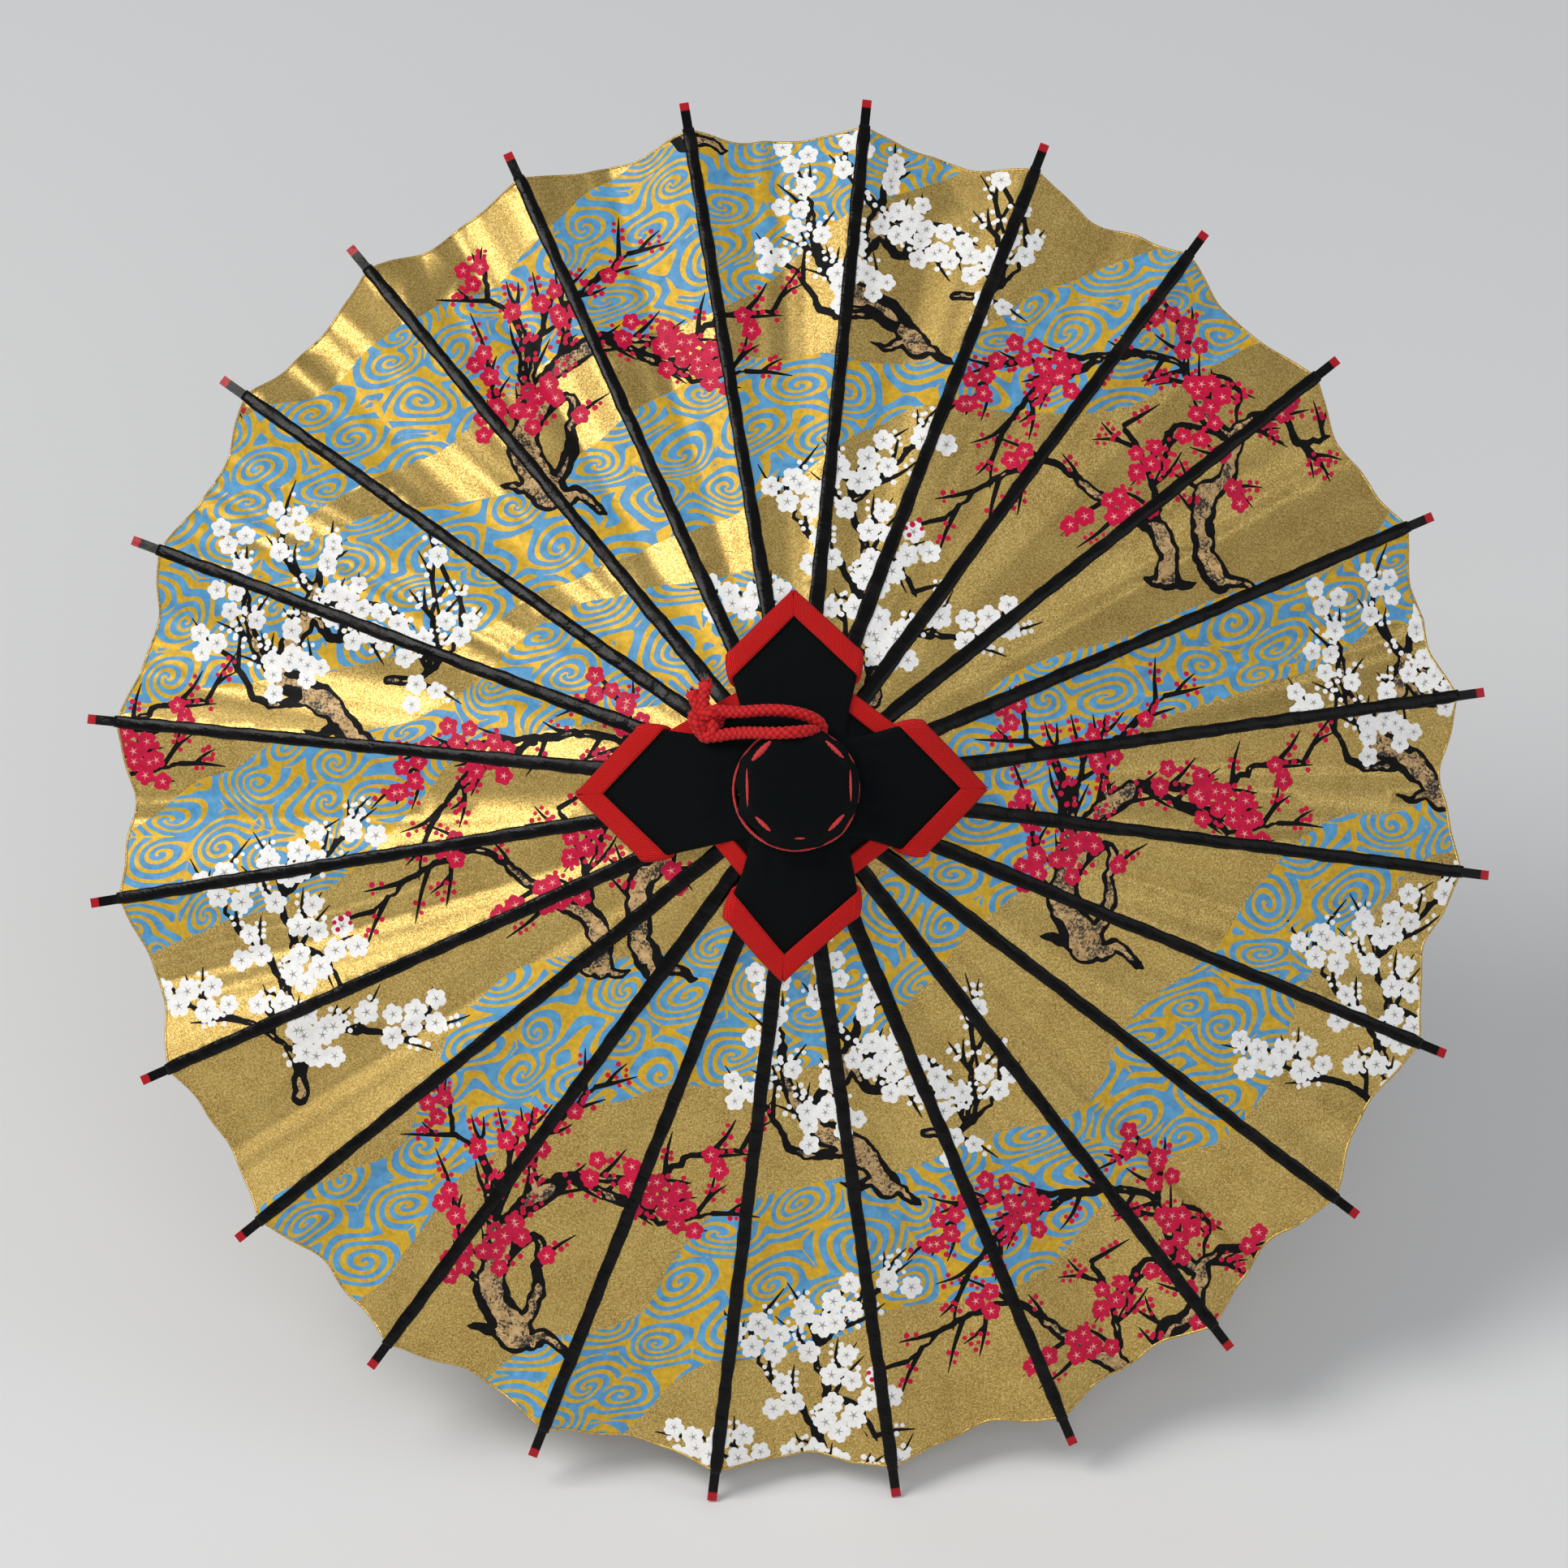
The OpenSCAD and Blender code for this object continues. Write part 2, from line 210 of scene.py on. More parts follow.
def noise(x, y, cell, seed):
    """Smooth two-dimensional noise from -1 to 1 with bumps about cell wide."""
    table = np.random.RandomState(seed).uniform(-1, 1, (NOISE_CELLS, NOISE_CELLS))
    u, v = x / cell, y / cell
    i, j = np.floor(u).astype(int), np.floor(v).astype(int)
    fu, fv = u - i, v - j
    fu, fv = fu * fu * (3 - 2 * fu), fv * fv * (3 - 2 * fv)
    near, far = i % NOISE_CELLS, (i + 1) % NOISE_CELLS
    low, high = j % NOISE_CELLS, (j + 1) % NOISE_CELLS
    return ((table[near, low] * (1 - fu) + table[far, low] * fu) * (1 - fv)
            + (table[near, high] * (1 - fu) + table[far, high] * fu) * fv)


def grid_faces(rows, columns, around=False):
    """Quads of a rows x columns grid of points, closed round its columns if around."""
    return [(r * columns + c, r * columns + (c + 1) % columns,
             (r + 1) * columns + (c + 1) % columns, (r + 1) * columns + c)
            for r in range(rows - 1) for c in range(columns if around else columns - 1)]


def tube_faces(rows, columns):
    """Faces round a tube's rings of points, and its two ends."""
    return grid_faces(rows, columns, around=True) + [
        tuple(range(columns))[::-1], tuple(range((rows - 1) * columns, rows * columns))]


def flipped(faces):
    return [face[::-1] for face in faces]


def travelled(path):
    """Distance along a path to each of its points."""
    return np.concatenate([[0], np.cumsum(np.linalg.norm(np.diff(path, axis=0), axis=1))])


def tube(path, radius, sides=12, relief=None):
    """Points and faces of a tube. relief(along, turn) multiplies its radius."""
    path = np.asarray(path, float)
    ahead = np.gradient(path, axis=0)
    ahead /= np.linalg.norm(ahead, axis=1)[:, None]
    along = travelled(path)
    radius = np.broadcast_to(radius, along.shape)
    side = np.cross(ahead[0], (0.1, 0.2, 1))
    turn = np.arange(sides) * 2 * math.pi / sides
    rings = []
    for k, centre in enumerate(path):
        side = side - ahead[k] * np.dot(side, ahead[k])
        side /= np.linalg.norm(side)
        r = radius[k] * (relief(along[k], turn) if relief else np.ones(sides))
        rings.append(centre + r[:, None] * (np.cos(turn)[:, None] * side
                                            + np.sin(turn)[:, None] * np.cross(ahead[k], side)))
    return np.vstack(rings), tube_faces(len(path), sides)


def join(*parts):
    """One list of points and faces out of several."""
    points, faces = [], []
    for some, theirs in parts:
        first = sum(len(p) for p in points)
        points.append(np.asarray(some, float))
        faces += [tuple(first + k for k in face) for face in theirs]
    return np.vstack(points), faces


def make_piece(name, body, shape, looks, labels=None, plan=None):
    """A mesh piece out of umbrella points and faces. plan gives each point its place, in mm, for
    the material to read; without it that is the point's own."""
    points, faces = shape
    mesh = bpy.data.meshes.new(name)
    mesh.from_pydata(place(points).tolist(), [], faces)
    for look in looks:
        mesh.materials.append(look)
    if labels is not None:
        mesh.polygons.foreach_set("material_index", np.asarray(labels, np.int32))
    mesh.polygons.foreach_set("use_smooth", [True] * len(faces))
    where = mesh.attributes.new("plan", "FLOAT_VECTOR", "POINT")
    where.data.foreach_set("vector", np.asarray(points if plan is None else plan,
                                                np.float32).ravel())
    mesh.update()
    piece = bpy.data.objects.new(name, mesh)
    bpy.context.scene.collection.objects.link(piece)
    if body:
        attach(piece, body)
    return piece


def thicken(piece, thickness):
    shell = piece.modifiers.new("thickness", "SOLIDIFY")
    shell.thickness, shell.offset = thickness * MM, -1


# ---------------------------------------------------------------- material helpers
def plug(look, value, socket):
    """Sets a shader input to a constant or links it to an output."""
    if isinstance(value, bpy.types.NodeSocket):
        look.node_tree.links.new(value, socket)
    else:
        socket.default_value = value


def node(look, kind, inputs=None, out=0, **settings):
    """Adds a shader node, with its inputs by name or number, and returns an output socket."""
    made = look.node_tree.nodes.new("ShaderNode" + kind)
    for key, value in settings.items():
        setattr(made, key, value)
    for key, value in (inputs or {}).items():
        plug(look, value, made.inputs[key])
    return made.outputs[out]


def new_look(name, roughness, metallic=0.0, coat=0.0, sheen=0.0, specular=0.5):
    look = bpy.data.materials.new(name)
    look.use_nodes = True
    inputs = look.node_tree.nodes["Principled BSDF"].inputs
    for key, value in (("Roughness", roughness), ("Metallic", metallic), ("Coat Weight", coat),
                       ("Sheen Weight", sheen), ("Specular IOR Level", specular)):
        inputs[key].default_value = value
    return look


def dress(look, colour, height, depth, strength, rough=None):
    """Plugs in a look's colour, its roughness if that varies, and its bump, depth mm deep."""
    inputs = look.node_tree.nodes["Principled BSDF"].inputs
    plug(look, colour, inputs["Base Color"])
    if rough:
        plug(look, rough, inputs["Roughness"])
    plug(look, node(look, "Bump", {"Height": height, "Distance": depth * MM,
                                   "Strength": strength}), inputs["Normal"])
    return look


def ramp(look, factor, *stops):
    """A colour ramp; a stop is (position, colour)."""
    socket = node(look, "ValToRGB", {"Fac": factor})
    elements = socket.node.color_ramp.elements
    while len(elements) < len(stops):
        elements.new(0.5)
    for element, (position, colour) in zip(elements, stops):
        element.position, element.color = position, (*colour, 1)
    return socket


def scaled(look, factor, low, high, low_to=0.0, high_to=1.0):
    return node(look, "MapRange", {"Value": factor, "From Min": low, "From Max": high,
                                   "To Min": low_to, "To Max": high_to})


def math_node(look, operation, *values):
    return node(look, "Math", dict(enumerate(values)), operation=operation)


def vector_node(look, operation, *values, out=0):
    values = (v if isinstance(v, bpy.types.NodeSocket) else tuple(v) for v in values)
    return node(look, "VectorMath", dict(enumerate(values)), out, operation=operation)


def from_head(look, where):
    """A place in the row frame as measured from the umbrella's own origin."""
    return vector_node(look, "SUBTRACT", where, HEAD)


def plan_of(look):
    """The piece's own plan coordinates, in millimetres."""
    return node(look, "Attribute", out=1, attribute_name="plan")


def grain(look, vector, per_mm, detail=3.0, rough=0.6):
    return node(look, "TexNoise", {"Vector": vector, "Scale": per_mm, "Detail": detail,
                                   "Roughness": rough})


def mixed(look, factor, a, b):
    """Colour a turning into colour b."""
    a, b = (c if isinstance(c, bpy.types.NodeSocket) else (*c, 1) for c in (a, b))
    return node(look, "Mix", {0: factor, 6: a, 7: b}, out=2, data_type="RGBA")


# ---------------------------------------------------------------- materials
def gold_look():
    """Gold ground of the print: metallic flakes on slightly mottled oiled paper."""
    look = new_look("paper_gold", roughness=0.42, metallic=0.85)
    plan = plan_of(look)
    flakes = grain(look, plan, 2.6, 4.0, 0.75)
    clouds = grain(look, plan, 0.09, 2.0)
    fine = ramp(look, flakes, (0.36, (0.18, 0.10, 0.02)), (0.5, (0.56, 0.375, 0.1)),
                (0.64, (1.0, 0.78, 0.32)))
    broad = ramp(look, clouds, (0.35, (0.46, 0.30, 0.075)), (0.65, (0.66, 0.47, 0.14)))
    return dress(look, mixed(look, 0.36, fine, broad), flakes, 0.05, 0.6,
                 scaled(look, flakes, 0.3, 0.7, 0.52, 0.36))


def printed_look(name, dark, light, metallic=0.0, per_mm=0.8, specular=0.4):
    """A printed colour with the unevenness of ink laid on paper."""
    look = new_look(name, 0.5, metallic, specular=specular)
    plan = plan_of(look)
    colour = ramp(look, grain(look, plan, per_mm, 4.0, 0.65), (0.32, dark), (0.68, light))
    fibres = grain(look, plan, 4.0, 3.0)
    return dress(look, colour, fibres, 0.03, 0.6, scaled(look, fibres, 0.3, 0.7, 0.58, 0.42))


def bark_look():
    """Tan bark stippled with ink."""
    look = new_look("paper_bark", roughness=0.5, metallic=0.15)
    plan = plan_of(look)
    base = ramp(look, grain(look, plan, 0.7, 3.0), (0.35, (0.44, 0.26, 0.09)),
                (0.65, (0.70, 0.47, 0.21)))
    patches = grain(look, plan, 0.28, 2.0)
    specks = grain(look, plan, 1.7, 5.0, 0.8)
    level = scaled(look, patches, 0.3, 0.7, 0.12, -0.08)
    inked = scaled(look, math_node(look, "ADD", specks, level), 0.52, 0.56)
    return dress(look, mixed(look, inked, base, (0.02, 0.017, 0.015)), specks, 0.03, 0.5)


def lacquer_look(name, tip_red=False):
    """Thick black lacquer, brushed on unevenly; the ribs' bare ends carry a dab of red."""
    look = new_look(name, roughness=0.25, specular=0.16)
    where, per = (node(look, "TexCoord", out=3), 1 / MM) if tip_red else (plan_of(look), 1)
    lumps = grain(look, where, 0.55 * per, 3.0)
    scuffs = grain(look, where, 0.12 * per, 5.0, 0.7)
    colour = ramp(look, scuffs, (0.5, (0.002, 0.0018, 0.0018)), (0.75, (0.009, 0.007, 0.006)))
    if tip_red:
        radial = vector_node(look, "CROSS_PRODUCT", from_head(look, where), AXIS)
        reach = vector_node(look, "LENGTH", radial, out=1)
        dab = scaled(look, reach, (RIM_R - 1.9) * MM, (RIM_R - 1.6) * MM)
        colour = mixed(look, dab, colour, (0.42, 0.012, 0.02))
    return dress(look, colour, lumps, 0.3, 0.5, scaled(look, scuffs, 0.4, 0.75, 0.16, 0.42))


def woven_look(name, deep, bright, pitch, sheen):
    """Plain woven cloth: threads pitch apart both ways, with painted shade in the gaps between
    them and a painted highlight on their crowns.
    """
    look = new_look(name, roughness=0.82, sheen=sheen, specular=0.06)
    plan = plan_of(look)
    apart = node(look, "SeparateXYZ", {0: plan}).node.outputs
    waves = [math_node(look, "SINE", math_node(look, "MULTIPLY", apart[k], math.pi / pitch))
             for k in (0, 1)]
    crowns = math_node(look, "ABSOLUTE", math_node(look, "MULTIPLY", *waves))
    fuzz = grain(look, plan, 3.0, 4.0, 0.7)
    height = math_node(look, "ADD", crowns, math_node(look, "MULTIPLY", fuzz, 0.5))
    # painted shade and highlight: the colour runs from deep in the weave's gaps to bright on its
    # crowns
    return dress(look, ramp(look, height, (0.25, deep), (1.0, bright)), height, 0.16, 0.9)


def cord_look():
    """Soft red yarn, with painted shade in the gaps between the braid's strands."""
    look = new_look("red_cord", roughness=0.65, sheen=0.06, specular=0.25)
    plan = plan_of(look)
    fibres = grain(look, plan, 4.5, 4.0, 0.7)
    height = node(look, "SeparateXYZ", {0: plan}, 2)
    lift = math_node(look, "ADD", height, math_node(look, "MULTIPLY", fibres, 0.5))
    # painted shade: the colour darkens where the braid's relief sinks into the gaps between
    # strands
    colour = ramp(look, lift, (0.3, (0.13, 0.001, 0.003)), (0.75, (0.50, 0.005, 0.008)),
                  (1.0, (0.68, 0.012, 0.014)))
    return dress(look, colour, fibres, 0.12, 0.7)


def thread_look(name, deep, bright):
    look = new_look(name, roughness=0.6, sheen=0.2)
    where = node(look, "TexCoord", out=3)
    twist = node(look, "TexWave", {"Vector": where, "Scale": 900.0, "Distortion": 3.0,
                                   "Detail": 2.0}, 1)
    return dress(look, ramp(look, twist, (0.2, deep), (0.8, bright)), twist, 0.1, 0.6)


def wood_look(name, deep, mid, bright, roughness, coat=0.0, along=True):
    """Wood or bamboo: fine fibres running along the shaft, or in all directions on turnings."""
    look = new_look(name, roughness, coat=coat)
    offset = from_head(look, node(look, "TexCoord", out=3))
    x, y, z = (vector_node(look, "DOT_PRODUCT", offset, v, out=1) for v in (ACROSS, UP, AXIS))
    squeezed = math_node(look, "MULTIPLY", z, 0.06 if along else 0.35)
    own = node(look, "CombineXYZ", {0: x, 1: y, 2: squeezed})
    fibres = grain(look, own, 900.0, 6.0, 0.65)
    bands = grain(look, own, 160.0, 3.0)
    both = math_node(look, "ADD", math_node(look, "MULTIPLY", fibres, 0.6),
                     math_node(look, "MULTIPLY", bands, 0.4))
    return dress(look, ramp(look, both, (0.35, deep), (0.5, mid), (0.64, bright)), fibres,
                 0.12, 0.5, scaled(look, fibres, 0.3, 0.7, roughness + 0.12, roughness - 0.08))


def brass_look():
    look = new_look("spring_brass", roughness=0.3, metallic=1.0)
    where = node(look, "TexCoord", out=3)
    scratches = node(look, "TexNoise", {"Vector": where, "Scale": 700.0, "Detail": 5.0,
                                        "Distortion": 1.5})
    colour = ramp(look, scratches, (0.3, (0.45, 0.28, 0.09)), (0.7, (0.80, 0.58, 0.24)))
    return dress(look, colour, scratches, 0.04, 0.4,
                 scaled(look, scratches, 0.3, 0.7, 0.42, 0.22))


def underside_look():
    """The paper's plain inner face, oiled to a warm cream with its fibres showing."""
    look = new_look("paper_underside", roughness=0.5, coat=0.15)
    plan = plan_of(look)
    fibres = node(look, "TexNoise", {"Vector": plan, "Scale": 0.9, "Detail": 6.0,
                                     "Roughness": 0.7, "Distortion": 1.2})
    clouds = grain(look, plan, 0.08, 2.0)
    both = math_node(look, "ADD", math_node(look, "MULTIPLY", fibres, 0.5),
                     math_node(look, "MULTIPLY", clouds, 0.5))
    colour = ramp(look, both, (0.35, (0.55, 0.42, 0.23)), (0.65, (0.80, 0.68, 0.46)))
    return dress(look, colour, fibres, 0.06, 0.5)


def cane_look():
    look = new_look("rattan", roughness=0.35, coat=0.2)
    fibres = grain(look, plan_of(look), 0.9, 5.0, 0.7)
    colour = ramp(look, fibres, (0.3, (0.36, 0.19, 0.06)), (0.7, (0.74, 0.49, 0.2)))
    return dress(look, colour, fibres, 0.1, 0.5)


# ---------------------------------------------------------------- hanging cord
CORD_D = 2.5
CORD_ROUTE = [
    (5, 11, 8), (5, 12.5, 9), (4, 13.6, 10.2), (2, 14.6, 11.2), (-1, 15.4, 11.6),
    (-4, 15.8, 11.2), (-7, 15.9, 10.2), (-10, 15.8, 8.8), (-13, 15.8, 7.2), (-16, 16.2, 5.8),
    (-19, 16, 5), (-20.6, 14, 4.8), (-19.6, 11.8, 5), (-17, 11, 5.8), (-14, 11.3, 7.4),
    (-11, 11.4, 9.8), (-8, 11.2, 12.6), (-5, 11, 14.8), (-2, 11, 15.8), (0.6, 11.2, 15),
    (2.6, 11.4, 13), (3.6, 11.2, 10.8), (3.4, 10.4, 9)]
KNOT_AT = (-18.4, 13.8, 4.9)
KNOT_SIZE = 0.98
TAILS = [[(-18.2, 14.6, 5.0), (-18.9, 18, 4.8), (-18.4, 21.8, 3.6)],
         [(-18.6, 14.4, 4.2), (-20.2, 17.4, 3.6), (-21.2, 20.2, 2.9)]]
CORD_PITCH = 1.5
BRAID_GAP, BRAID_RISE = 0.82, 0.25  # the gaps' radius and the crowns' rise, of the cord's radius
FRAYS = 16


def braided(path, flare=1.0):
    """A tube along a path with the relief of a round braid, two sets of strands that cross in
    diamonds."""
    def braid(along, turn):
        slant = math.pi * along / CORD_PITCH
        crowns = np.abs(np.cos(2 * turn + slant) * np.cos(2 * turn - slant))
        return BRAID_GAP + BRAID_RISE * np.sqrt(crowns)
    return tube(path, flare * CORD_D / 2, 24, braid)


def braid_plan(path, points):
    """Material coordinates of a braided tube's points: x, y and the height of the relief, 0 in
    the gaps between strands and 1 on their crowns."""
    gap = np.full(len(points), np.inf)
    for spot in path:
        gap = np.minimum(gap, np.linalg.norm(points - spot, axis=1))
    lift = np.clip((gap / (CORD_D / 2) - BRAID_GAP) / BRAID_RISE, 0, 1)
    return np.column_stack([points[:, :2] + points[:, 2:], lift])


def knot_path():
    t = np.linspace(0, 2 * math.pi, 150)
    flat = np.stack([np.sin(t) + 2 * np.sin(2 * t), np.cos(t) - 2 * np.cos(2 * t),
                     -1.25 * np.sin(3 * t)], axis=1)
    return np.array(KNOT_AT) + KNOT_SIZE * flat


def make_strand(name, path, shape, look):
    return make_piece(name, "root", shape, [look], plan=braid_plan(path, shape[0]))


def make_tail(number, look):
    """A cut end of the cord, flared and frayed."""
    line = curve(TAILS[number - 1], 0.2)
    flare = 1 + 0.22 * smooth(np.arange(len(line)), len(line) - 9, len(line) - 1)
    parts = [braided(line, flare)]
    out = (line[-1] - line[-6]) / np.linalg.norm(line[-1] - line[-6])
    rng = np.random.RandomState(number)
    for _ in range(FRAYS):
        spread = rng.uniform(-1, 1, 3)
        start = line[-1] + 0.8 * spread - 0.3 * out
        end = start + out * rng.uniform(0.5, 1.1) + 0.35 * spread
        parts.append(tube([start, (start + end) / 2 + 0.1 * spread, end],
                          np.array([0.22, 0.2, 0.1]), 6))
    return make_strand(f"cord_tail_{number}", line, join(*parts), look)


def make_cord(look):
    path, turns = curve(CORD_ROUTE, 0.2), knot_path()
    loop = make_strand("hanging_cord_loop", path, braided(path), look)
    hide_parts("hanging_cord")
    knot = make_strand("cord_knot", turns, braided(turns), look)
    make_tail(1, look)
    make_tail(2, look)


# ---------------------------------------------------------------- the print, in plan
# Drawn flat over the canopy seen along the shaft. A field holds, at each point of a fine grid,
# how far inside the drawn shape that point is, in mm; its zero line is the shape's outline.
GRID_STEP = 0.25
GRID_HALF = PAPER_R + 2
GRID_COUNT = int(2 * GRID_HALF / GRID_STEP) + 1
GRID = -GRID_HALF + GRID_STEP * np.arange(GRID_COUNT)
GX, GY = np.meshgrid(GRID, GRID, indexing="ij")
FAR = -5.0

# The design repeats: every motif is also drawn one or more of these steps away.
REPEAT = np.array([(-121, -79.5), (110.5, -97)])

BANDS = [
    [(-140, 60), (-90, 80), (-45, 108), (-2, 128), (40, 150)],
    [(-150, 34), (-134, 38), (-90, 44), (-47, 57), (1, 80), (48, 89), (82, 101), (125, 112)],
    [(-150, -22), (-126, -12), (-90, 4), (-47, 26), (-8, 34)],
    [(-112, -100), (-82, -81), (-56, -53), (-13, -44), (22, -29), (57, 14), (91, 28),
     (126, 42), (150, 56)],
    [(-70, -140), (-38, -120), (-4, -100), (39, -89), (82, -60), (108, -25), (134, -10),
     (152, -6)]]
BAND_HALF = 12.5

# Trees: each limb is (points, half width at its start, half width at its end). Limbs with
# bark are over about 1 mm in half width.
GNARLED = [
    ([(0, 0), (-4, 7), (-5, 12), (-2, 19), (0, 24), (2, 27), (7, 30), (11, 33)], 3.7, 1.9),
    ([(1, 1), (3, 5), (5, 9), (5, 14), (6, 19), (4, 21), (1, 18)], 1.9, 0.7),
    ([(-4, 20), (-5, 28), (-5, 35), (-8, 40), (-12, 43), (-12.5, 50)], 1.3, 0.4),
    ([(-3, 24), (-2, 31), (0, 38), (2, 44)], 1.0, 0.4),
    ([(5, 30), (4, 38), (8, 43), (12, 47), (18, 52)], 1.2, 0.4),
    ([(11, 33), (17, 33), (28, 32), (34, 35), (40, 38), (48, 38)], 1.1, 0.4),
    ([(11, 33), (17, 31), (22, 29), (32, 28)], 0.9, 0.5),
    ([(20, 29), (27, 26), (32, 23), (42, 25)], 0.9, 0.4),
    ([(-5, 10), (-9, 13), (-11, 19), (-12, 30)], 0.8, 0.4),
    ([(-2, 2), (-5, 1), (-10, 2)], 2.2, 0.4),
    ([(0, 1), (3, -1), (7, -1), (12, -5)], 2.2, 0.8)]
TWIN = [
    ([(0, 0), (0, 6), (-2, 10), (-7, 13), (-12, 16), (-20, 22)], 2.7, 1.0),
    ([(-20, 22), (-25, 25), (-32, 23), (-40, 19), (-48, 12)], 0.8, 0.4),
    ([(-2, 10), (-2, 16), (-3, 21), (-6, 29), (-8, 33)], 1.1, 0.5),
    ([(11, -1), (8, 6), (8, 13), (9, 18), (13, 21), (15, 28), (16, 32)], 2.8, 2.0),
    ([(16, 32), (21, 35), (27, 34), (30, 29), (37, 31)], 1.2, 0.5),
    ([(15, 30), (10, 35), (8, 42)], 1.8, 1.3),
    ([(8, 42), (5, 46), (0, 48), (-8, 48), (-24, 47), (-31, 47), (-37, 44), (-42, 35)], 1.0, 0.4),
    ([(-13, 47), (-21, 43), (-27, 40), (-33, 33), (-36, 29)], 0.9, 0.4),
    ([(8, 42), (13, 44), (18, 40)], 0.8, 0.4),
    ([(6, 45), (6, 53), (1, 60)], 0.9, 0.4),
    ([(14, 30), (6, 33), (2, 32), (-1, 27)], 0.9, 0.4),
    ([(0, 1), (-2, -1), (-5, 0)], 1.9, 0.9),
    ([(1, 0), (3, -2), (6, -1)], 1.8, 0.6),
    ([(11, 0), (15, -1), (20, -3)], 1.9, 0.6)]
LEANING = [
    ([(0, 0), (-3.5, 5), (-9, 9.5), (-15, 13)], 3.2, 2.7),
    ([(-15, 13), (-19, 18), (-21, 24), (-22, 32), (-24, 38)], 1.9, 0.45),
    ([(-15, 13), (-12, 20), (-8, 26), (-7, 31)], 2.4, 1.7),
    ([(-8, 7.5), (-18, 7), (-22, 12), (-25, 17)], 1.2, 0.5),
    ([(-7, 29), (-1, 27), (6, 27), (12, 24)], 1.1, 0.4),
    ([(-8, 26), (-3, 20), (3, 22), (8, 19)], 1.3, 0.6),
    ([(-7, 31), (-5, 36), (0, 39)], 1.1, 0.4),
    ([(-7, 31), (-12, 36), (-14, 42)], 0.9, 0.4),
    ([(8, 11), (15, 11), (18, 17), (18, 26), (21, 32)], 0.9, 0.4),
    ([(15, 11), (21, 16), (25, 22)], 0.7, 0.35),
    ([(-1, 2), (-6, 0), (-10, 1)], 1.6, 0.4),
    ([(0, 1), (4, -2), (7, -4)], 1.6, 0.7)]
SLENDER = [
    ([(-10, 6), (-9, 18), (-12, 28), (-10, 38), (-13, 48), (-10, 58)], 1.7, 0.5),
    ([(-12, 28), (-16, 36), (-24, 44), (-27, 54)], 0.8, 0.4),
    ([(-9, 18), (0, 20), (10, 19), (17, 22)], 0.9, 0.4),
    ([(-10, 38), (-4, 35), (0, 28)], 0.9, 0.4),
    ([(-13, 48), (-6, 54), (2, 62)], 0.8, 0.4),
    ([(-9, 14), (-20, 22), (-30, 24), (-38, 30)], 0.8, 0.4)]
LIMB_STEP = 1.2
TREE_REACH = 70  # no tree reaches further than this from its foot
# Each tree: its flowers' colour, whether their petals are nicked, their size, its foot, its
# limbs, the way its twigs lean, the share of them that flower, and a seed.
TREES = [("red", False, 2.1, (-50, 64), GNARLED, (0.25, 0.6), 0.42, 11),
         ("white", False, 2.2, (28.5, 94), LEANING, (0, 0.6), 0.68, 12),
         ("red", False, 2.1, (80, 44), TWIN, (-0.25, -0.45), 0.5, 13),
         ("white", True, 2.6, (26, 12), SLENDER, (0, 0.5), 0.62, 14)]


def blank():
    return np.full(GX.shape, FAR)


def window(low, high):
    """The part of the grid between two corners, or None."""
    first = np.clip(((np.asarray(low) + GRID_HALF) / GRID_STEP).astype(int), 0, GRID_COUNT)
    last = np.clip(((np.asarray(high) + GRID_HALF) / GRID_STEP).astype(int) + 2, 0, GRID_COUNT)
    if (last <= first).any():
        return None
    return np.s_[first[0]:last[0], first[1]:last[1]]


def draw_line(field, points, half_widths, margin=1.6):
    """Adds a brush stroke to a field."""
    for a, b, wa, wb in zip(points, points[1:], half_widths, half_widths[1:]):
        reach = max(wa, wb) + margin
        part = window(np.minimum(a, b) - reach, np.maximum(a, b) + reach)
        if part is None:
            continue
        along = b - a
        t = ((GX[part] - a[0]) * along[0] + (GY[part] - a[1]) * along[1]) / (along @ along)
        t = np.clip(t, 0, 1)
        away = np.hypot(GX[part] - a[0] - t * along[0], GY[part] - a[1] - t * along[1])
        field[part] = np.maximum(field[part], wa + (wb - wa) * t - away)


def draw_disc(field, centre, radius):
    part = window(centre - radius - 1, centre + radius + 1)
    if part is not None:
        away = np.hypot(GX[part] - centre[0], GY[part] - centre[1])
        field[part] = np.maximum(field[part], radius - away)


FIFTH = 1.2566  # of a turn


def draw_flower(field, centre, radius, turn, notched):
    """Five round petals; notched ones are a little apart, each with a nick in its end."""
    part = window(centre - radius - 1, centre + radius + 1)
    if part is None:
        return
    dx, dy = GX[part] - centre[0], GY[part] - centre[1]
    petal, out = (0.41, 0.6) if notched else (0.44, 0.56)
    shape = 0.4 * radius - np.hypot(dx, dy)
    for k in range(5):
        c, s = math.cos(turn + k * FIFTH), math.sin(turn + k * FIFTH)
        lobe = petal * radius - np.hypot(dx - out * radius * c, dy - out * radius * s)
        if notched:
            nick = np.hypot(dx - 1.06 * radius * c, dy - 1.06 * radius * s) - 0.13 * radius
            lobe = np.minimum(lobe, nick)
        shape = np.maximum(shape, lobe)
    field[part] = np.maximum(field[part], shape)


def turned(direction, angle):
    c, s = math.cos(angle), math.sin(angle)
    return np.array([direction[0] * c - direction[1] * s, direction[0] * s + direction[1] * c])


def pointed_twig(start, heading, length, bend):
    """A twig that thins to a point, slightly bowed."""
    middle = start + heading * length / 2 + turned(heading, math.pi / 2) * bend
    line = curve([start, middle, start + heading * length], 1.5)
    return line, 0.58 * (1 - 0.8 * np.linspace(0, 1, len(line)) ** 1.5)


def bud_pairs(twig, heading, rng):
    """Buds on both sides of a twig's outer half."""
    buds = []
    for share in np.arange(rng.uniform(0.45, 0.6), 0.95, 0.17):
        spot = twig[int(share * (len(twig) - 1))]
        for side in (-1, 1):
            if rng.rand() < 0.75:
                away = turned(heading, side * rng.uniform(1.1, 1.6)) * rng.uniform(0.7, 1.1)
                buds.append((spot + away, rng.uniform(0.45, 0.64)))
    return buds


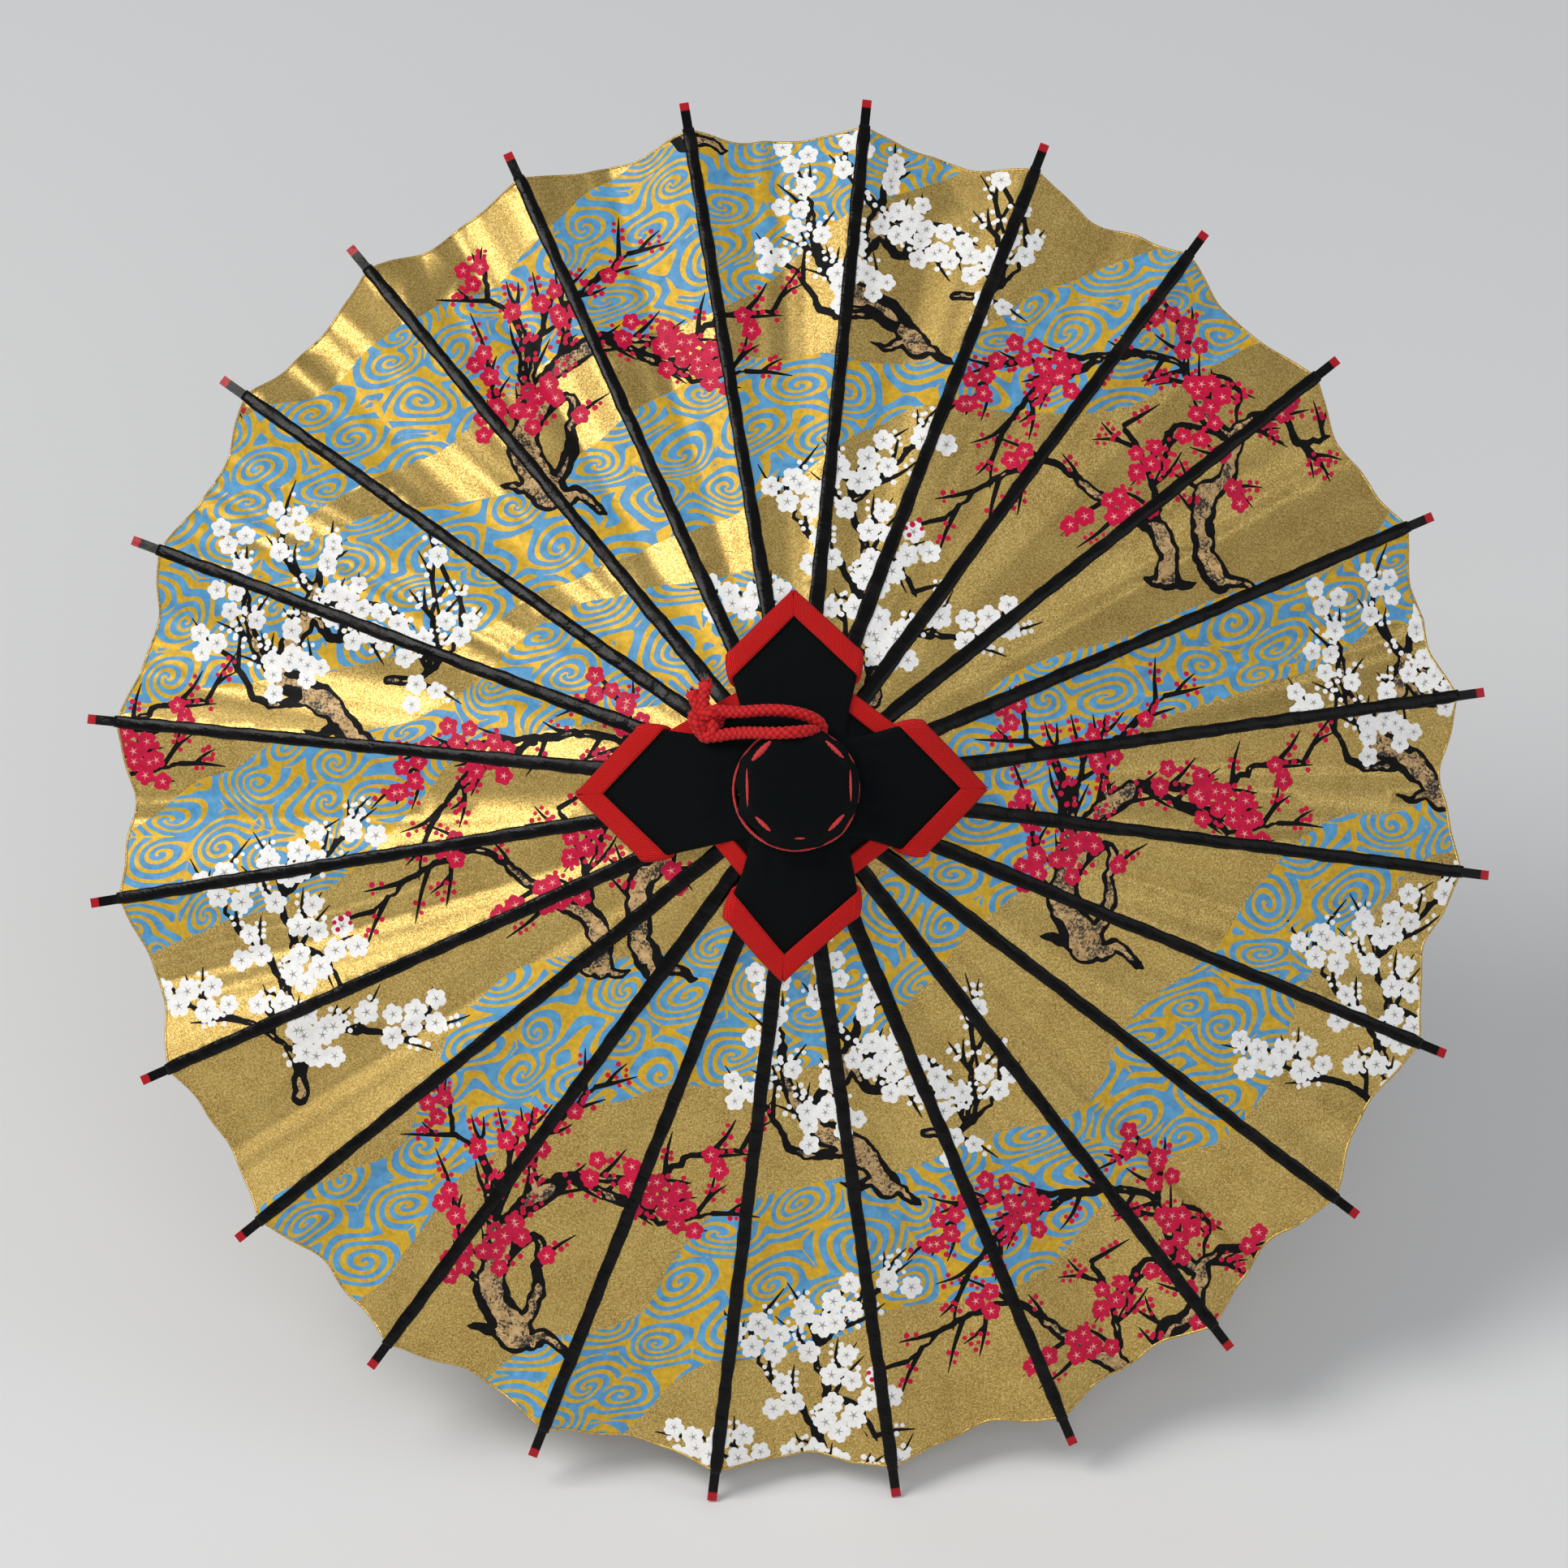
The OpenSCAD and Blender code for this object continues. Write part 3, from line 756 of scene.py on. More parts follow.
def cluster(spot, size, rng):
    """Flowers crowded round a spot, overlapping a little."""
    flowers = [(spot, size * rng.uniform(0.93, 1.08), rng.uniform(0, 6.3))]
    heading = rng.uniform(0, 6.3)
    for _ in range(rng.randint(0, 4)):
        heading += rng.uniform(0.95, 1.5)
        away = turned(np.array([size * rng.uniform(1.7, 2.05), 0]), heading)
        flowers.append((spot + away, size * rng.uniform(0.86, 1.04), rng.uniform(0, 6.3)))
    return flowers


def grow(limbs, lean, size, bloom, seed):
    """Strokes, flowers of about the given size and buds of one tree, about its own foot. Its
    twigs turn towards lean, and bloom is the share of them that flower."""
    rng = np.random.RandomState(seed)
    wood, twigs, flowers, buds = [], [], [], []
    for points, start_half, end_half in limbs:
        line = curve(points, LIMB_STEP)
        line[1:-1] += 0.22 * rng.randn(len(line) - 2, 2)
        halves = np.linspace(start_half, end_half, len(line))
        halves = halves * (1 + 0.16 * wobble(np.arange(len(line)), rng.randint(999)))
        halves[-1] *= 0.4
        wood.append((line, halves))
        if line[-1][1] < 6:
            continue
        here, side = rng.uniform(1, 4), 1
        along = np.arange(len(line)) * LIMB_STEP
        while here < along[-1] + 1:
            k = min(int(np.searchsorted(along, here)), len(line) - 1)
            here += rng.uniform(3.6, 6.0)
            if line[k][1] < 9:
                continue
            ahead = line[min(k + 1, len(line) - 1)] - line[k - 1]
            ahead /= np.linalg.norm(ahead)
            side = -side if rng.rand() < 0.75 else side
            heading = turned(ahead, side * rng.uniform(0.5, 1.1)) + lean
            heading /= np.linalg.norm(heading)
            length = rng.uniform(6, 13)
            twig, halves = pointed_twig(line[k], heading, length, rng.uniform(-1, 1))
            twigs.append((twig, halves))
            buds += bud_pairs(twig, heading, rng)
            if rng.rand() < 0.6:
                root = twig[len(twig) // 3]
                shoot = turned(heading, -side * rng.uniform(0.4, 0.8))
                short, halves = pointed_twig(root, shoot, rng.uniform(3.5, 7), 0.3)
                twigs.append((short, halves * 0.8))
                buds += bud_pairs(short, shoot, rng)
            if rng.rand() < bloom:
                flowers += cluster(line[k] + heading * length * rng.uniform(0.1, 0.45),
                                   size, rng)
    return wood, twigs, flowers, buds


def draw_trees():
    """Fields of all the ink, of the bark inside it and of each colour's petals, and for each
    colour its flowers as rows of x, y, radius and turn."""
    wood, ink = blank(), blank()
    petals = {"red": blank(), "white": blank()}
    places = {"red": [], "white": []}
    for colour, notched, size, foot, limbs, lean, bloom, seed in TREES:
        lines, twigs, flowers, buds = grow(limbs, np.array(lean), size, bloom, seed)
        for i in range(-3, 4):
            for j in range(-3, 4):
                base = np.array(foot) + i * REPEAT[0] + j * REPEAT[1]
                if np.linalg.norm(base) > GRID_HALF + TREE_REACH:
                    continue
                for line, halves in lines:
                    draw_line(wood, line + base, halves)
                for line, halves in twigs:
                    draw_line(ink, line + base, halves)
                for spot, radius, turn in flowers:
                    draw_flower(petals[colour], spot + base, radius, turn, notched)
                    places[colour].append([*(spot + base), radius, turn])
                for spot, radius in buds:
                    draw_disc(petals[colour], spot + base, radius)
    knots = np.clip(noise(GX, GY, 5.0, 15), 0, 1)
    bark = wood - 0.85 - 1.9 * knots + 0.4 * noise(GX, GY, 1.2, 4)
    ink = np.maximum(ink, wood + 0.15 * noise(GX, GY, 0.9, 3))
    return ink, bark, petals, {c: np.array(rows) for c, rows in places.items()}


def band_field():
    """Blue stream bands with slowly waving edges."""
    field = blank()
    for number, points in enumerate(BANDS):
        line = curve(points, 3)
        ends = 4.5 * wobble(np.arange(len(line)) * 0.35, 20 + number)
        draw_line(field, line, BAND_HALF + ends, margin=5)
    return field + 1.3 * noise(GX, GY, 9.0, 5)


SWIRL_GAP = 18.0  # distance between neighbouring whirls
LINE_PITCH = 1.5  # distance between the stream's gold lines
FLOW, STRETCH = 0.3, 1.6  # the stream's direction, and how far its whirls are drawn out in it
SOFTNESS = 0.8  # how softly the distances from neighbouring whirls run together


def swirl_centres():
    """Whirls on a jittered triangular net, spinning either way."""
    rng = np.random.RandomState(8)
    rows = []
    for i in range(-12, 13):
        for j in range(-15, 16):
            spot = np.array([(i + 0.5 * (j % 2)) * SWIRL_GAP, j * SWIRL_GAP * 0.52])
            spot = turned(spot, FLOW) + rng.uniform(-3.2, 3.2, 2)
            spin = rng.choice([-2, -1, 1, 2])
            if np.linalg.norm(spot) < GRID_HALF + SWIRL_GAP:
                rows.append((*spot, spin))
    return rows


def stream_field(band):
    """Gold lines of the stream. They wind into each whirl; where the arcs of two whirls meet
    they run together, here and there in a thick stem."""
    near = band > -1.5
    x, y = GX[near], GY[near]
    bx = x + 2.4 * noise(x, y, 10.0, 6)
    by = y + 2.0 * noise(x, y, 10.0, 7)
    weight, turn = np.zeros(bx.shape), np.zeros(bx.shape)
    nearest, second = np.full(bx.shape, 99.0), np.full(bx.shape, 99.0)
    c, s = math.cos(FLOW), math.sin(FLOW)
    for cx, cy, spin in swirl_centres():
        dx, dy = bx - cx, by - cy
        away = np.hypot((dx * c + dy * s) / STRETCH, dy * c - dx * s)
        weight += np.exp(-away / SOFTNESS)
        turn += spin * np.arctan2(dy, dx)
        second = np.minimum(second, np.maximum(nearest, away))
        nearest = np.minimum(nearest, away)
    wave = np.cos(2 * math.pi * -SOFTNESS * np.log(weight) / LINE_PITCH + turn)
    lines = (wave - 0.14 + 0.4 * noise(x, y, 5.0, 9)) * 0.3
    stems = 0.05 + 0.6 * noise(x, y, 4.0, 10) - 0.8 * (second - nearest)
    total = blank()
    total[near] = np.maximum(lines, np.minimum(stems, 0.5))
    return total


def crossed_cells(field):
    """Marching squares: the points where the field's zero lines cross the grid, and for each
    of them the points that it is joined to."""
    inside = field > 0
    count, size = field.shape[1], field.size
    i, j = np.nonzero((inside[:-1, :-1] != inside[1:, :-1]) | (inside[:-1, :-1] != inside[:-1, 1:])
                      | (inside[:-1, :-1] != inside[1:, 1:]))
    a, b = inside[i, j], inside[i + 1, j]
    c, d = inside[i + 1, j + 1], inside[i, j + 1]
    south, north = i * count + j, i * count + j + 1
    west, east = size + i * count + j, size + (i + 1) * count + j
    crossings = np.stack([a != b, b != c, c != d, d != a], axis=1)
    edges = np.stack([south, east, north, west], axis=1)
    twice = crossings.sum(1) == 4
    order = np.argsort(~crossings, axis=1, kind="stable")[:, :2]
    segments = np.vstack([np.take_along_axis(edges, order, 1)[~twice],
                          edges[twice][:, [0, 1]], edges[twice][:, [2, 3]]])
    ids, index = np.unique(segments, return_inverse=True)
    gi, gj = ids % size // count, ids % size % count
    upright = ids >= size
    hi, hj = np.where(upright, gi, gi + 1), np.where(upright, gj + 1, gj)
    low, high = field[gi, gj], field[hi, hj]
    t = low / (low - high)
    points = np.stack([GRID[gi] + (GRID[hi] - GRID[gi]) * t,
                       GRID[gj] + (GRID[hj] - GRID[gj]) * t], 1)
    links = [[] for _ in ids]
    for first, second in index.reshape(segments.shape).tolist():
        links[first].append(second)
        links[second].append(first)
    return points, links


def outlines(field):
    """The field's zero lines as chains of points."""
    points, links = crossed_cells(field)
    chains, seen = [], np.zeros(len(links), bool)
    starts = [k for k, l in enumerate(links) if len(l) == 1] + list(range(len(links)))
    for start in starts:
        if seen[start]:
            continue
        chain = [start]
        seen[start] = True
        while ahead := [k for k in links[chain[-1]] if not seen[k]]:
            seen[ahead[0]] = True
            chain.append(ahead[0])
        if start in links[chain[-1]] and len(chain) > 2:
            chain.append(start)
        if len(chain) > 3:
            chains.append(points[chain])
    return chains


def simplified(chain, slack):
    """The chain without the points that lie within slack of the line between others."""
    middle, end = len(chain) // 2, len(chain) - 1
    keep = np.zeros(len(chain), bool)
    keep[[0, middle, end]] = True
    stack = [(0, middle), (middle, end)]
    while stack:
        first, last = stack.pop()
        if last - first < 2:
            continue
        way = chain[last] - chain[first]
        length = math.hypot(*way)
        offset = chain[first + 1:last] - chain[first]
        if length < 1e-9:
            away = np.hypot(*offset.T)
        else:
            away = np.abs(offset[:, 0] * way[1] - offset[:, 1] * way[0]) / length
        worst = int(away.argmax())
        if away[worst] > slack:
            keep[first + 1 + worst] = True
            stack += [(first, first + 1 + worst), (first + 1 + worst, last)]
    return chain[keep]


def sample(field, points):
    """The field's values at points, between the grid's own."""
    u = np.clip((points + GRID_HALF) / GRID_STEP, 0, GRID_COUNT - 1.001)
    i, j = u[:, 0].astype(int), u[:, 1].astype(int)
    fu, fv = u[:, 0] - i, u[:, 1] - j
    return ((field[i, j] * (1 - fu) + field[i + 1, j] * fu) * (1 - fv)
            + (field[i, j + 1] * (1 - fu) + field[i + 1, j + 1] * fu) * fv)


HEART_TIP, HEART_HOLLOW = 0.46, 0.09  # reach of a flower's fine marks, of its radius


def star(x, y, radius, turn):
    """Outline of the five fine marks at a flower's heart."""
    reach = radius * np.where(np.arange(11) % 2 == 0, HEART_TIP, HEART_HOLLOW)
    return (x, y) + polar(reach, turn + np.arange(11) * math.pi / 5, 0)[:, :2]


GOLD, BLUE, STREAM, INK, BARK, RED, WHITE, RED_HEART, WHITE_HEART, INNER = range(10)


WELL_INSIDE = 0.4


def uncovered(chain, cover):
    """The runs of a chain that don't lie well inside the shapes drawn over it."""
    shown = sample(cover, chain) < WELL_INSIDE
    shown[1:] |= shown[:-1].copy()
    breaks = np.nonzero(np.diff(shown.astype(int)))[0] + 1
    return [run for run, seen in zip(np.split(chain, breaks), np.split(shown, breaks))
            if seen[0] and len(run) > 1]


class Print:
    """The print's outlines, and the colour at any point of its plan."""

    def __init__(self):
        self.ink, self.bark, self.petals, self.flowers = draw_trees()
        self.band = band_field()
        self.stream = stream_field(self.band)
        red, white = self.petals["red"], self.petals["white"]
        petals = np.maximum(red, white)
        drawn = np.maximum(self.ink, petals)
        # Each layer: its field, what is drawn over it, and how closely its outline is followed.
        layers = [(red, blank(), 0.03), (white, red, 0.03), (self.ink, petals, 0.04),
                  (self.bark, petals, 0.06), (self.band, drawn, 0.05),
                  (self.stream, np.maximum(drawn, -self.band), 0.045)]
        chains = [run for field, cover, slack in layers for chain in outlines(field)
                  for run in uncovered(simplified(chain, slack), cover)]
        chains += [star(*row) for rows in self.flowers.values() for row in rows
                   if math.hypot(row[0], row[1]) < GRID_HALF]
        ends = np.cumsum([len(chain) for chain in chains]) - 1
        links = np.delete(np.arange(ends[-1] + 1), ends)
        self.points, self.edges = np.vstack(chains), np.stack([links, links + 1], 1)

    def hearts(self, points, colour):
        """Which points lie inside a flower's five fine marks."""
        rows = self.flowers[colour]
        hit = np.zeros(len(points), bool)
        near = np.nonzero(sample(self.petals[colour], points) > 0)[0]
        wedge = math.pi / 5
        for some in np.array_split(near, len(near) // 4000 + 1):
            apart = points[some, None] - rows[:, :2]
            best = np.hypot(apart[..., 0], apart[..., 1]).argmin(1)
            dx, dy = apart[np.arange(len(some)), best].T
            radius, turn = rows[best, 2:].T
            part = (np.arctan2(dy, dx) - turn) % (2 * wedge)
            part = np.minimum(part, 2 * wedge - part)
            tip, hollow = HEART_TIP * radius, HEART_HOLLOW * radius
            hit[some] = np.hypot(dx, dy) < (tip * hollow * math.sin(wedge)
                                            / (hollow * np.sin(wedge - part) + tip * np.sin(part)))
        return hit

    def labels(self, points):
        """The colour number at each point."""
        label = np.full(len(points), GOLD)
        label[sample(self.band, points) > 0] = BLUE
        label[(label == BLUE) & (sample(self.stream, points) > 0)] = STREAM
        label[sample(self.ink, points) > 0] = INK
        label[sample(self.bark, points) > 0] = BARK
        label[sample(self.petals["white"], points) > 0] = WHITE
        label[sample(self.petals["red"], points) > 0] = RED
        label[(label == RED) & self.hearts(points, "red")] = RED_HEART
        label[(label == WHITE) & self.hearts(points, "white")] = WHITE_HEART
        return label


# ---------------------------------------------------------------- the canopy's paper
SAG = 6.0  # depth of the paper's belly between two ribs at the rim
GLUED = 1.5  # half width of the paper held flat on a rib
PAPER_T = 0.2
HEM_R = 0.3  # half thickness of the thread rolled into the paper's edge
INNER_R = 12.5  # where the paper starts, under the cloth
CREASES = 6  # long soft wrinkles in each gore
fold_rng = np.random.RandomState(17)
CREASE_SHAPE = (len(RIBS), CREASES)
CREASE_TURNS = 2 * math.pi / fold_rng.uniform(4.5, 15, CREASE_SHAPE)
CREASE_LEAN = fold_rng.uniform(-0.045, 0.045, CREASE_SHAPE)
CREASE_START = fold_rng.uniform(0, 7, CREASE_SHAPE)
CREASE_SIZE = fold_rng.uniform(0.06, 0.3, CREASE_SHAPE)


def gore_place(x, y):
    """Which gore a point is in, and how far it is along and aside of the gore's mid-line."""
    phi = np.degrees(np.arctan2(y, x))
    gore = np.round(phi / PITCH)
    off = np.radians(phi - gore * PITCH)
    rho = np.hypot(x, y)
    return gore.astype(int) % len(RIBS), rho * np.cos(off), rho * np.sin(off)


def slack_share(along, aside):
    """0 where the paper is glued to a rib, 1 on the gore's mid-line."""
    half = along * math.tan(HALF_PITCH)
    glued = np.minimum(GLUED, half * 0.5)
    return np.clip((half - np.abs(aside) - glued) / np.maximum(half - glued, 0.3), 0, 1)


def belly(share):
    """Shape of the sag across a gore, with a soft crease on its mid-line."""
    return 0.72 * np.sin(share * math.pi / 2) + 0.28 * share


def paper_z(x, y):
    """Height of the paper's printed face."""
    gore, along, aside = gore_place(x, y)
    share = slack_share(along, aside)
    s = np.clip((along / math.cos(HALF_PITCH) - HINGE_R) / SIN, 0, None)
    drop = SAG * (s / PAPER_S) ** 1.5 * belly(share) / SIN
    folds = sum(CREASE_SIZE[gore, k] * np.sin(CREASE_TURNS[gore, k] * (aside + CREASE_LEAN[gore, k]
                * along) + CREASE_START[gore, k]) for k in range(CREASES))
    fullness = np.sin(share * math.pi / 2) * smooth(along, 20, 90)
    return cone_z(along / math.cos(HALF_PITCH), PAPER_N) - drop + folds * fullness


def paper_normal(x, y):
    h = 0.12
    dx = (paper_z(x + h, y) - paper_z(x - h, y)) / (2 * h)
    dy = (paper_z(x, y + h) - paper_z(x, y - h)) / (2 * h)
    up = np.stack([-dx, -dy, np.ones_like(dx)], 1)
    return up / np.linalg.norm(up, axis=1)[:, None]


def paper_edge(phi):
    """Distance from the shaft of the paper's cut edge, in the direction phi in radians."""
    gore = np.round(np.degrees(phi) / PITCH)
    off = phi - np.radians(gore * PITCH)
    chord = PAPER_R * math.cos(HALF_PITCH)
    aside = chord * np.tan(off)
    share = slack_share(chord, aside)
    gore = gore.astype(int) % len(RIBS)
    width = chord * math.tan(HALF_PITCH)
    waves = 0.6 * np.sin(2.6 * math.pi * aside / width / 2 + CREASE_START[gore, 0])
    waves += 0.45 * np.sin(4.6 * math.pi * aside / width / 2 + CREASE_START[gore, 1])
    return (chord - SAG * COS * belly(share) - (0.5 + waves) * np.sin(share * math.pi / 2)) \
        / np.cos(off)


def wedge_outline(i):
    """Corner-to-corner outline of the paper on rib i, from mid-line to mid-line."""
    low, high = math.radians(azimuth(i) - PITCH / 2), math.radians(azimuth(i) + PITCH / 2)
    turns = np.linspace(low, high, 49)
    rim = polar(paper_edge(turns), turns, 0)[:, :2]
    inner = polar(INNER_R, np.linspace(high, low, 5), 0)[:, :2]
    sides = []
    for angle, end in ((low, rim[0]), (high, rim[-1])):
        reach = np.linspace(INNER_R, np.hypot(*end), 70)[1:-1]
        sides.append(polar(reach, angle, 0)[:, :2])
    return np.vstack([rim, sides[1][::-1], inner, sides[0]]), len(rim)


def inside_outline(points, outline):
    """Even-odd test of points against a closed outline."""
    hit = np.zeros(len(points), bool)
    x, y = points[:, 0], points[:, 1]
    for (x0, y0), (x1, y1) in zip(outline, np.roll(outline, -1, axis=0)):
        if y0 != y1:
            crossed = (y0 > y) != (y1 > y)
            hit ^= crossed & (x < x0 + (y - y0) * (x1 - x0) / (y1 - y0))
    return hit


def net(outline, step, seed, clear):
    """Jittered inner points of an outline, clear of its edge."""
    low, high = outline.min(0), outline.max(0)
    nx, ny = ((high - low) / step).astype(int) + 1
    rng = np.random.RandomState(seed)
    x, y = np.meshgrid(np.arange(nx), np.arange(ny), indexing="ij")
    points = low + step * np.stack([x + 0.5 * (y % 2), y * 0.87], -1).reshape(-1, 2)
    points += rng.uniform(-0.15, 0.15, points.shape) * step
    points = points[inside_outline(points, outline)]
    gap = np.full(len(points), 99.0)
    for a in outline:
        gap = np.minimum(gap, np.hypot(*(points - a).T))
    return points[gap > clear]


def triangulate(points, edges, outline):
    """Constrained triangles of the points that lie within the outline."""
    made, _, faces, *_ = delaunay_2d_cdt([Vector(p) for p in points.tolist()],
                                         edges.tolist(), [], 0, 1e-3, False)
    made = np.array([(p.x, p.y) for p in made])
    faces = np.array(faces)
    centres = made[faces].mean(1)
    corners = made[faces]
    area = np.abs((corners[:, 1, 0] - corners[:, 0, 0]) * (corners[:, 2, 1] - corners[:, 0, 1])
                  - (corners[:, 2, 0] - corners[:, 0, 0]) * (corners[:, 1, 1] - corners[:, 0, 1]))
    faces = faces[inside_outline(centres, outline) & (area > 1e-7)]
    used, faces = np.unique(faces, return_inverse=True)
    return made[used], faces.reshape(-1, 3)


def hem_sides(faces):
    """The directed sides that only one triangle has."""
    sides = {side for a, b, c in faces.tolist() for side in ((a, b), (b, c), (c, a))}
    return [(a, b) for a, b in sides if (b, a) not in sides]


def near_panel(i, points):
    """Which points lie on rib i's panel or just beside it."""
    heading = math.radians(azimuth(i))
    across = points[:, 1] * math.cos(heading) - points[:, 0] * math.sin(heading)
    outward = points[:, 0] * math.cos(heading) + points[:, 1] * math.sin(heading)
    return (np.abs(across) < outward * math.tan(HALF_PITCH) + 3) & (outward > INNER_R - 3)


def make_panel(i, design, looks):
    """The paper from one gore's mid-line to the next, on rib i: a closed sheet with the print's
    outlines cut into its upper face, and a rolled thread along its cut edge."""
    outline, rim_count = wedge_outline(i)
    loop = np.arange(len(outline))
    ends = design.points[design.edges]
    edges = design.edges[near_panel(i, ends.mean(1))]
    used, edges = np.unique(edges, return_inverse=True)
    points = np.vstack([outline, design.points[used], net(outline, step=1.7, seed=i, clear=0.6)])
    edges = np.vstack([np.stack([loop, np.roll(loop, -1)], 1),
                       edges.reshape(-1, 2) + len(outline)])
    plan, triangles = triangulate(points, edges, outline)
    labels = design.labels(plan[triangles].mean(1))
    count = len(plan)
    upper = np.column_stack([plan, paper_z(*plan.T)])
    lower = upper - (0, 0, PAPER_T)
    walls = [(b, a, count + a, count + b) for a, b in sorted(hem_sides(triangles))]
    faces = triangles.tolist() + (triangles[:, ::-1] + count).tolist() + walls
    rim = outline[:rim_count]
    roll = tube(np.column_stack([rim, paper_z(*rim.T) - PAPER_T / 2]), HEM_R, 6)
    shape = join((np.vstack([upper, lower]), faces), roll)
    labels = np.concatenate([labels, np.full(len(faces) - len(labels), INNER),
                             np.full(len(roll[1]), GOLD)])
    panel = make_piece(f"paper_{i:02d}", None, shape, looks, labels)

    up = paper_normal(*plan.T) @ BASIS
    normals = np.zeros((len(panel.data.loops), 3))
    corners = triangles.size
    normals[:corners] = up[triangles.ravel()]
    normals[corners:2 * corners] = -up[triangles[:, ::-1].ravel()]
    panel.data.normals_split_custom_set(normals.tolist())
    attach(panel, f"rib_{i:02d}")
    return panel


def make_canopy(looks):
    design = Print()
    for i in RIBS:
        panel = make_panel(i, design, looks)
        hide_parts("canopy")
        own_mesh(panel)


LACQUER_FROM, LACQUER_TO = 6, PAPER_S + 1.2  # along the rib
LACQUER_HALF, LACQUER_HIGH = 1.66, 0.62


def make_rib_lacquer(i, look):
    """The raised, uneven ridge of lacquer that covers the paper along rib i."""
    s = np.arange(LACQUER_FROM, LACQUER_TO, 0.8)
    turn = np.linspace(0, math.pi, 11)
    taper = smooth(s, LACQUER_FROM, 10) * (1 - 0.25 * smooth(s, PAPER_S - 2, LACQUER_TO))
    half = (LACQUER_HALF - 0.28 * smooth(s, 20, 70)) * (0.55 + 0.45 * taper)
    left = half + 0.1 * wobble(s, 100 + i) + 0.04 * wobble(s * 3, 130 + i)
    right = half + 0.1 * wobble(s, 200 + i) + 0.04 * wobble(s * 3, 230 + i)
    high = LACQUER_HIGH + 0.08 * wobble(s * 1.3, 300 + i) + 0.03 * wobble(s * 4, 330 + i)
    rows = []
    for k in range(len(s)):
        t = np.where(turn < math.pi / 2, right[k], left[k]) * np.cos(turn)
        lift = high[k] * taper[k] * np.sin(turn) ** 0.7
        lift += 0.05 * np.sin(turn) * wobble(t * 4 + k * 0.7, 400 + i)
        rows.append(rib_points(i, s[k], PAPER_N - 0.12 + lift, t))
    points = np.vstack(rows)
    plan = np.column_stack([np.repeat(s, len(turn)), points[:, 0] * 0.5 + points[:, 1],
                            points[:, 2]])
    make_piece(f"rib_lacquer_{i:02d}", f"rib_{i:02d}",
               (points, flipped(tube_faces(len(s), len(turn)))), [look], plan=plan)


# ---------------------------------------------------------------- cloth cap
CORNER_REACH = [39, 41, 45, 39]  # the cloth's right, top, left and bottom corners
CORNER_SKEW = [0.5, 0.3, 0.0, 3.5]  # how far each corner's tip lies off its own line, clockwise
FLAP_HALF = 13.0
NECK_R, NECK_Z = 12.2, 5.0
FREE_R = 17.0  # a radius out beyond the neck
FLAP_ROOT = 11.0  # the flaps start this far out, inside the neck
NECK_HALF = 10.2  # a flap's half width where it leaves the neck
NECK_SPREAD = math.radians(50)  # how far round the neck that half width reaches
KNOB_TOP = 15.9
CLOTH_T = 0.5
UNDERFOLD = 4.5
BINDING_W, SIDE_BINDING_W = 3.8, 3.4
BINDING_LIFT = 0.3
# Each side of the cloth between two flaps: the middle of the gap it fills, and the heading and
# the distance of its straight edge.
VALLEYS = [(45, 52, 22), (138, 118, 22.7), (225, 219, 19.6), (315, 307, 20.4)]
VALLEY_SPREAD = 0.34  # half the angle that each side's cloth spans round the knob


def fold_half(q, reach):
    """Half width of a flap between its side folds, q out from the shaft."""
    return NECK_HALF + (FLAP_HALF - NECK_HALF) * smooth(q, 12, reach - FLAP_HALF)


def flap_surface(side, q, wide):
    """Points of a corner flap. q is the distance out along the flap and wide the distance
    across the cloth laid flat, which runs over the side fold and back underneath."""
    reach, skew = CORNER_REACH[side], CORNER_SKEW[side]
    half = fold_half(q, reach)
    hand, flat = np.sign(wide), np.abs(wide)
    roll = 0.3 + 0.85 * smooth(reach - FLAP_HALF - q, -0.5, 6)
    over = np.clip(flat - (half - roll), 0, None)
    turn = np.clip(over / roll, 0, math.pi)
    back = np.clip(over - math.pi * roll, 0, None)
    across = np.minimum(flat, half - roll) + roll * np.sin(turn) - back
    down = roll * (1 - np.cos(turn))
    mix = smooth(q, 11, 17)
    spread = NECK_SPREAD * across / NECK_HALF
    root_q, root_p = NECK_R * np.cos(spread), NECK_R * np.sin(spread)
    out = (q - FLAP_ROOT) * (1 - mix) + root_q * (1 - mix) + q * mix
    p = hand * (root_p * (1 - mix) + across * mix) - skew * smooth(q, 14, reach)
    share = across / np.maximum(half, 1)
    n = 6.1 - 0.9 * smooth(q, 16, 30) - 1.1 * smooth(q, 24, reach)
    n = n + 0.75 * (1 - share ** 2) * smooth(q, 12, 20) * (1 - 0.6 * smooth(q, 26, reach))
    gather = np.exp(-(q - 12) / 5.5) * smooth(q, 11.2, 13)
    n = n + gather * 0.4 * np.sin(p * 1.35 + 1.9 * side) * (1 - share ** 2)
    n = n + 0.16 * wobble(q * 0.7 + p * 0.35, 60 + side) * smooth(q, 14, 22)
    r = np.hypot(out, p)
    z = cone_z(r, n) - down
    root = smooth(q, 11, 15)
    z = (NECK_Z - 0.1 * down) * (1 - root) + z * root
    heading = math.radians(90 * side)
    return np.stack([out * math.cos(heading) - p * math.sin(heading),
                     out * math.sin(heading) + p * math.cos(heading), z], -1)


